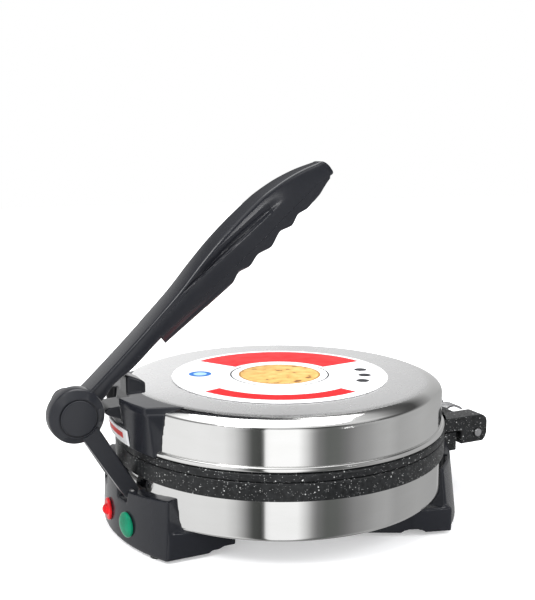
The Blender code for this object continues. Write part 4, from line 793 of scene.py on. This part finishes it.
# ---------------------------------------------------------------- handle
TOP_SHARES = (
    (0.0, 0.003), (0.149, 0.176), (0.354, 0.43), (0.456, 0.576), (0.529, 0.673), (0.602, 0.758),
    (0.676, 0.836), (0.749, 0.897), (0.822, 0.945), (0.9, 0.982), (0.961, 1.0), (0.988, 0.982),
)
STEM_UNDER_SHARES = (
    (0.03, -0.05), (0.085, 0.012), (0.105, 0.033), (0.144, 0.091), (0.198, 0.139), (0.305, 0.261),
    (0.568, 0.539), (0.698, 0.673), (0.785, 0.77), (0.893, 0.88), (0.993, 0.942),
)
GRIP_UNDER_SHARES = (
    (0.324, 0.236), (0.573, 0.473), (0.598, 0.521), (0.641, 0.545), (0.671, 0.594), (0.724, 0.624),
    (0.759, 0.691), (0.807, 0.715), (0.832, 0.764), (0.871, 0.788), (0.924, 0.848), (0.966, 0.921),
)
CHANNEL_SHARES = ((0.09, 0.018), (0.112, 0.044), (0.144, 0.091), (0.198, 0.139), (0.324, 0.261), (0.476, 0.38))
WIDTH_SHARES = (
    (0.0, 0.98), (0.1, 1.0), (0.3, 1.0), (0.6, 1.0), (0.8, 0.92), (0.9, 0.74), (0.96, 0.56), (1.0, 0.42),
)
STRIP_START, STRIP_END = 75 * MM, 197 * MM
TIP_TRIM = 3.0 * MM
BARREL_R = 10 * MM
SEAM = 0.06 * MM
SMALLEST_CORNER = 0.05 * MM


def along_handle(shares):
    cosine, sine = math.cos(LEAN), math.sin(LEAN)
    points = []
    for share_x, share_z in shares:
        x, z = share_x * REACH, share_z * RISE
        points.append((x * cosine + z * sine, z * cosine - x * sine))
    return points


def smooth_line(points):
    """A function through points that bends smoothly and never overshoots them."""
    xs, ys = [p[0] for p in points], [p[1] for p in points]
    gaps = [b - a for a, b in zip(xs, xs[1:])]
    slopes = [(b - a) / g for a, b, g in zip(ys, ys[1:], gaps)]
    tangents = [slopes[0]]
    for i in range(1, len(slopes)):
        a, b = slopes[i - 1], slopes[i]
        tangents.append(0 if a * b <= 0 else 2 * a * b / (a + b))
    tangents.append(slopes[-1])

    def value(x):
        if x <= xs[0]:
            return ys[0]
        if x >= xs[-1]:
            return ys[-1]
        i = max(k for k in range(len(gaps)) if xs[k] <= x)
        t = (x - xs[i]) / gaps[i]
        return (ys[i] * (1 + 2 * t) * (1 - t) ** 2 + tangents[i] * gaps[i] * t * (1 - t) ** 2
                + ys[i + 1] * t * t * (3 - 2 * t) + tangents[i + 1] * gaps[i] * t * t * (t - 1))

    return value


HANDLE_TOP = smooth_line(along_handle(TOP_SHARES))
HANDLE_UNDER = smooth_line(along_handle(STEM_UNDER_SHARES))
GRIP_POINTS = along_handle(GRIP_UNDER_SHARES)
HANDLE_LENGTH = max(place for place, height in along_handle(TOP_SHARES))
END_START = HANDLE_LENGTH - 9.4 * MM
HANDLE_WIDTH = smooth_line([(share * HANDLE_LENGTH, width * HALF_WIDTH) for share, width in WIDTH_SHARES])


def grip_under(place):
    """Underside of the grip: shallow hollows for the fingers between low crests."""
    crests = GRIP_POINTS
    base = smooth_line(crests)(place)
    for (x0, y0), (x1, y1) in zip(crests, crests[1:]):
        if x0 <= place <= x1:
            straight = y0 + (y1 - y0) * (place - x0) / (x1 - x0)
            return (base + straight) / 2
    return base


def from_handle(place, height):
    cosine, sine = math.cos(LEAN), math.sin(LEAN)
    return (place * cosine - height * sine, place * sine + height * cosine)


def side_bulge(place, height):
    """How much the side falls back above and below its middle."""
    place = min(place, END_START)
    low, high = HANDLE_UNDER(place), HANDLE_TOP(place)
    offset = (height - (low + high) / 2) / ((high - low) / 2)
    return 0.9 * MM * min(offset ** 2, 2.2)


def rounded_section(place, half, low, high, corner_low, corner_high, groove=None):
    """Points round the handle at a place, with rounded corners and a valley in each side."""
    tall = high - low
    corner_low = max(SMALLEST_CORNER, min(corner_low, tall * 0.45, half * 0.7))
    corner_high = max(SMALLEST_CORNER, min(corner_high, tall * 0.45, half * 0.7))
    points = []
    for k in range(7):
        angle = -math.pi / 2 + k * math.pi / 12
        points.append((half - corner_low * (1 - math.cos(angle)), low + corner_low * (1 + math.sin(angle))))
    bottom, roof = low + corner_low, high - corner_high
    for k in range(1, 24):
        height = bottom + (roof - bottom) * k / 24
        depth = 0
        if groove:
            level, width, deep = groove
            offset = (height - level) / width
            if -0.35 < offset <= 0:
                depth = deep * (0.5 - 0.5 * math.cos(math.pi * (1 + offset / 0.35)))
            elif 0 < offset < 1:
                depth = deep * (0.5 + 0.5 * math.cos(math.pi * offset))
        points.append((half - depth, height))
    for k in range(7):
        angle = k * math.pi / 12
        points.append((half - corner_high * (1 - math.cos(angle)), high - corner_high * (1 - math.sin(angle))))
    share = half / HALF_WIDTH
    points = [(max(0.2 * y, y - side_bulge(place, height) * share), height) for y, height in points]
    points += [(-y, height) for y, height in reversed(points)]
    section = []
    for y, height in points:
        x, z = from_handle(place, height)
        section.append((x, y, z))
    return section


def span_places(first, last, step):
    count = max(2, int(round((last - first) / step)))
    return [first + (last - first) * i / count for i in range(count + 1)]


def side_valley(place):
    """Level, width and depth of the valley along the side, which fades out at both ends."""
    ease = min(1, max(0, (place - 62 * MM) / (20 * MM))) * min(1, max(0, (208 * MM - place) / (45 * MM)))
    return (9.8 * MM, 6.0 * MM, 1.9 * MM * ease)


def strip_depth(place):
    return (2.8 + 6.2 * (place - STRIP_START) / (STRIP_END - STRIP_START)) * MM


def build_handle():
    tip = HANDLE_LENGTH - TIP_TRIM
    places = span_places(0.1 * MM, STRIP_START - SEAM, 3 * MM)
    places += [STRIP_START - SEAM / 2] + span_places(STRIP_START + MM, STRIP_END - MM, 2.5 * MM)
    places += [STRIP_END + SEAM / 2] + span_places(STRIP_END + SEAM, END_START, 3 * MM)
    closing_shares = (0.15, 0.3, 0.45, 0.58, 0.7, 0.8, 0.88, 0.94, 0.98, 1.0)
    places += [END_START + (tip - END_START) * share for share in closing_shares]
    sections = []
    for place in places:
        half = HANDLE_WIDTH(min(place, END_START))
        low, high = HANDLE_UNDER(min(place, END_START)), HANDLE_TOP(min(place, END_START))
        upper = 2.0 * MM
        if STRIP_START - SEAM / 3 < place < STRIP_END + SEAM / 3:
            high -= strip_depth(place) + SEAM
            upper = 0.1 * MM
        lower = 1.6 * MM if place < GRIP_POINTS[0][0] else 0.15 * MM
        if place > END_START:
            share = (place - END_START) / (tip + 0.05 * MM - END_START)
            closing = math.sqrt(1 - share ** 2.4)
            middle = (low + high) / 2 - 5.1 * MM * share ** 2
            size = (high - low) / 2 * closing
            low, high = middle - size, middle + size
            half *= max(0.05, closing)
            lower = 2.5 * MM
        sections.append(rounded_section(place, half, low, high, lower, upper, side_valley(place)))
    core = make_object("handle_body", lofted(sections), PIVOT)
    top_places = span_places(STRIP_START, STRIP_END, 2.5 * MM)
    sections = []
    for place in top_places:
        high = HANDLE_TOP(place)
        sections.append(rounded_section(place, HANDLE_WIDTH(place), high - strip_depth(place), high,
                                        0.1 * MM, 2.2 * MM, side_valley(place)))
    strip = make_object("handle_top_strip", lofted(sections), PIVOT)
    first, last = GRIP_POINTS[0][0] + GAP, GRIP_POINTS[-1][0]
    sections = []
    for place in span_places(first, last, 1.6 * MM):
        low, high = grip_under(place), HANDLE_UNDER(place) - SEAM
        high = max(high, low + 0.4 * MM)
        sections.append(rounded_section(place, HANDLE_WIDTH(place), low, high, 2.6 * MM, 0.1 * MM))
    grip = make_object("handle_grip_shell", lofted(sections), PIVOT)
    # The channel lets the bracket's hump pass under the stem
    step = 6 * MM / math.sqrt(2)
    line = [(x * REACH, z * RISE) for x, z in CHANNEL_SHARES]
    outline = [(x - step, z + step) for x, z in line]
    outline += [(x + 4 * step, z - 4 * step) for x, z in (line[-1], line[0])]
    for target in (core, grip):
        carved(target, [("DIFFERENCE", side_prism(outline, -10 * MM, 10 * MM), PIVOT)])
        soften(target, 32)
    wear(core, "black_plastic", "handle", "handle_core")
    wear(strip, "black_plastic", "handle", "handle_top")
    wear(grip, "black_plastic", "handle", "handle_grip")
    barrel = make_object("handle_barrel", cross_rod(BARREL_R, -HALF_WIDTH, HALF_WIDTH, 64), PIVOT)
    wear(bevelled(barrel, 0.6 * MM, 3), "black_plastic", "handle")


# ---------------------------------------------------------------- stage, light and camera
CAMERA_RIGHT = (0.8933, -0.4206, 0.0)
RING_R, RING_HALF_HEIGHT, RING_STEPS = 0.33, 0.5, 180


def stage_material(name):
    material = bpy.data.materials.new(name)
    material.use_nodes = True
    material.node_tree.nodes.clear()
    return material, material.node_tree


def joined(tree, kind, *sources, operation=None):
    """Adds a node, links the sources to its first inputs and gives its first output."""
    node = tree.nodes.new(kind)
    if operation:
        node.operation = operation
    for socket, source in zip(node.inputs, sources):
        tree.links.new(source, socket)
    return node.outputs[0]


def level_node(tree, kind, **inputs):
    node = tree.nodes.new(kind)
    for key, value in inputs.items():
        node.inputs[key].default_value = value
    return node


def map_range(tree, source, from_low, from_high, to_low, to_high):
    levels = {"From Min": from_low, "From Max": from_high, "To Min": to_low, "To Max": to_high}
    node = level_node(tree, "ShaderNodeMapRange", **levels)
    tree.links.new(source, node.inputs["Value"])
    return node.outputs["Result"]


def split_axes(tree, coordinates):
    coords = tree.nodes.new("ShaderNodeTexCoord")
    split = tree.nodes.new("ShaderNodeSeparateXYZ")
    tree.links.new(coords.outputs[coordinates], split.inputs["Vector"])
    return [split.outputs[axis] for axis in "XYZ"]


def vector_value(tree, operation, coordinates):
    """A vector maths node on the coordinates; the caller sets its second vector."""
    coords = tree.nodes.new("ShaderNodeTexCoord")
    node = tree.nodes.new("ShaderNodeVectorMath")
    node.operation = operation
    tree.links.new(coords.outputs[coordinates], node.inputs[0])
    return node


def to_output(tree, kind, shader):
    tree.links.new(shader, tree.nodes.new(kind).inputs["Surface"])


# How bright the surroundings are by angle from the camera's side, positive to its right
SURROUNDINGS = (
    (-180, 0.84), (-150, 1.0), (-115, 0.85), (-95, 0.75), (-80, 0.95), (-45, 1.0), (-30, 0.96), (-24, 0.75),
    (-20, 0.48), (-17, 0.25), (-14.5, 0.10), (-8.6, 0.06), (-7.4, 1.05), (-5, 1.22), (10, 1.22), (15, 0.76),
    (18, 0.42), (20.7, 0.23), (26, 0.14), (32, 0.15), (37, 0.20), (43, 0.30), (50, 0.37), (57, 0.46),
    (65, 0.50), (73, 0.44), (95, 0.50), (132, 0.44), (150, 0.66), (165, 0.78),
)


def build_surroundings(camera_angle):
    """A ring round the set, seen only in reflections, as soft boxes and dark cards are in a studio."""
    material, tree = stage_material("studio_ring")
    x, y, z = split_axes(tree, "Object")
    angle = joined(tree, "ShaderNodeMath", y, x, operation="ARCTAN2")
    ramp = tree.nodes.new("ShaderNodeValToRGB")
    elements = ramp.color_ramp.elements
    while len(elements) < len(SURROUNDINGS):
        elements.new(0.5)
    for element, (degrees, level) in zip(elements, SURROUNDINGS):
        element.position = (degrees + 180) / 360
        green = level * (1.04 if level < 0.2 else 1.0)
        element.color = (level, green, level, 1)
    tree.links.new(map_range(tree, angle, -math.pi, math.pi, 0.0, 1.0), ramp.inputs["Fac"])
    upper = map_range(tree, z, 0.22, 0.31, 1.0, 0.16)
    lower = map_range(tree, z, -0.048, -0.012, 0.88, 1.0)
    strength = joined(tree, "ShaderNodeMath", upper, lower, operation="MULTIPLY")
    glow = joined(tree, "ShaderNodeEmission", ramp.outputs["Color"], strength)
    above = map_range(tree, z, 0.34, 0.5, 0.0, 1.0)
    clear = joined(tree, "ShaderNodeBsdfTransparent")
    to_output(tree, "ShaderNodeOutputMaterial", joined(tree, "ShaderNodeMixShader", above, glow, clear))
    bm = bmesh.new()
    rows = []
    for height in (-RING_HALF_HEIGHT, RING_HALF_HEIGHT):
        turns = [math.tau * i / RING_STEPS for i in range(RING_STEPS)]
        rows.append([bm.verts.new(radial(RING_R, turn, height)) for turn in turns])
    for i in range(RING_STEPS):
        j = (i + 1) % RING_STEPS
        bm.faces.new((rows[0][i], rows[0][j], rows[1][j], rows[1][i]))
    ring = make_object("studio_ring", bm, (0, 0, 0), (0, 0, camera_angle))
    ring.data.materials.append(material)
    for ray in ("camera", "diffuse", "transmission", "volume_scatter", "shadow"):
        setattr(ring, f"visible_{ray}", False)


def build_floor():
    """A matt floor that the camera sees paler with distance, so its edge is lost in the white background."""
    material, tree = stage_material("pale_floor")
    matt = level_node(tree, "ShaderNodeBsdfDiffuse", Color=(0.86, 0.86, 0.865, 1)).outputs[0]
    glow = level_node(tree, "ShaderNodeEmission", Color=(1, 1, 1, 1))
    distance = vector_value(tree, "LENGTH", "Object").outputs["Value"]
    tree.links.new(map_range(tree, distance, 0.16, 0.75, 0.34, 1.1), glow.inputs["Strength"])
    both = joined(tree, "ShaderNodeAddShader", matt, glow.outputs[0])
    from_camera = tree.nodes.new("ShaderNodeLightPath").outputs["Is Camera Ray"]
    to_output(tree, "ShaderNodeOutputMaterial", joined(tree, "ShaderNodeMixShader", from_camera, matt, both))
    bm = bmesh.new()
    bm.faces.new([bm.verts.new((x, y, 0)) for x, y in ((-4, -4), (4, -4), (4, 4), (-4, 4))])
    floor = make_object("floor", bm)
    floor.data.materials.append(material)
    floor.visible_glossy = False


def build_world():
    """White to the camera; reflections see it dimmer to the camera's right and near the horizon."""
    world = bpy.data.worlds.new("studio")
    bpy.context.scene.world = world
    world.use_nodes = True
    tree = world.node_tree
    tree.nodes.clear()
    path = tree.nodes.new("ShaderNodeLightPath")
    white = level_node(tree, "ShaderNodeBackground", Color=(1, 1, 1, 1), Strength=1.0)
    soft = level_node(tree, "ShaderNodeBackground", Color=(0.97, 0.98, 1, 1), Strength=1.0)
    mirrored = level_node(tree, "ShaderNodeBackground", Color=(1, 1, 1, 1))
    side = vector_value(tree, "DOT_PRODUCT", "Generated")
    side.inputs[1].default_value = CAMERA_RIGHT
    level = map_range(tree, side.outputs["Value"], -0.25, 0.35, 1.3, 0.6)
    up = split_axes(tree, "Generated")[2]
    height = map_range(tree, up, 0.62, 0.86, 0.30, 1.30)
    strength = joined(tree, "ShaderNodeMath", level, height, operation="MULTIPLY")
    tree.links.new(strength, mirrored.inputs["Strength"])
    glossy, camera = path.outputs["Is Glossy Ray"], path.outputs["Is Camera Ray"]
    for_glossy = joined(tree, "ShaderNodeMixShader", glossy, soft.outputs[0], mirrored.outputs[0])
    choose = joined(tree, "ShaderNodeMixShader", camera, for_glossy, white.outputs[0])
    to_output(tree, "ShaderNodeOutputWorld", choose)


def area_light(name, place, target, size, power):
    data = bpy.data.lights.new(name, "AREA")
    data.shape = "RECTANGLE"
    data.size, data.size_y = size
    data.energy = power
    lamp = bpy.data.objects.new(name, data)
    bpy.context.scene.collection.objects.link(lamp)
    lamp.location = place
    lamp.rotation_euler = (Vector(target) - Vector(place)).to_track_quat("-Z", "Y").to_euler()


def build_camera():
    data = bpy.data.cameras.new("camera")
    data.sensor_width = 36
    data.lens = 36 * 900 / 600
    camera = bpy.data.objects.new("camera", data)
    bpy.context.scene.collection.objects.link(camera)
    place = Vector((-0.2847, -0.59505, 0.2642))
    camera.location = place
    camera.rotation_euler = Vector((0.42059, 0.89326, -0.158679)).to_track_quat("-Z", "Y").to_euler()
    bpy.context.scene.camera = camera
    return math.atan2(place.y, place.x - AXIS_X)


camera_angle = build_camera()
build_world()
build_surroundings(camera_angle)
build_floor()
area_light("key", (-0.75, -0.35, 0.95), (0, 0, 0.08), (0.35, 0.35), 7.0)
area_light("fill", (0.65, -0.75, 0.75), (0, 0, 0.08), (0.6, 0.6), 4.0)
area_light("top", (0.15, 0.35, 1.1), (0, 0, 0.08), (0.8, 0.8), 6.0)
area_light("glint", (0.30, -0.95, 0.27), (0, 0, 0.20), (0.07, 0.07), 1.2)

build_drum()
build_plates()
build_lid()
build_front_stand()
build_lamps()
build_rear_stand()
build_bracket()
build_link()
build_handle()

for row in frame["record"]["subparts"]:
    node = frame["nodes"][row["node"]]
    node.data.materials.clear()
    node.data.materials.append(LOOKS[row["material_slot"]])

bpy.context.scene.view_settings.view_transform = "Standard"
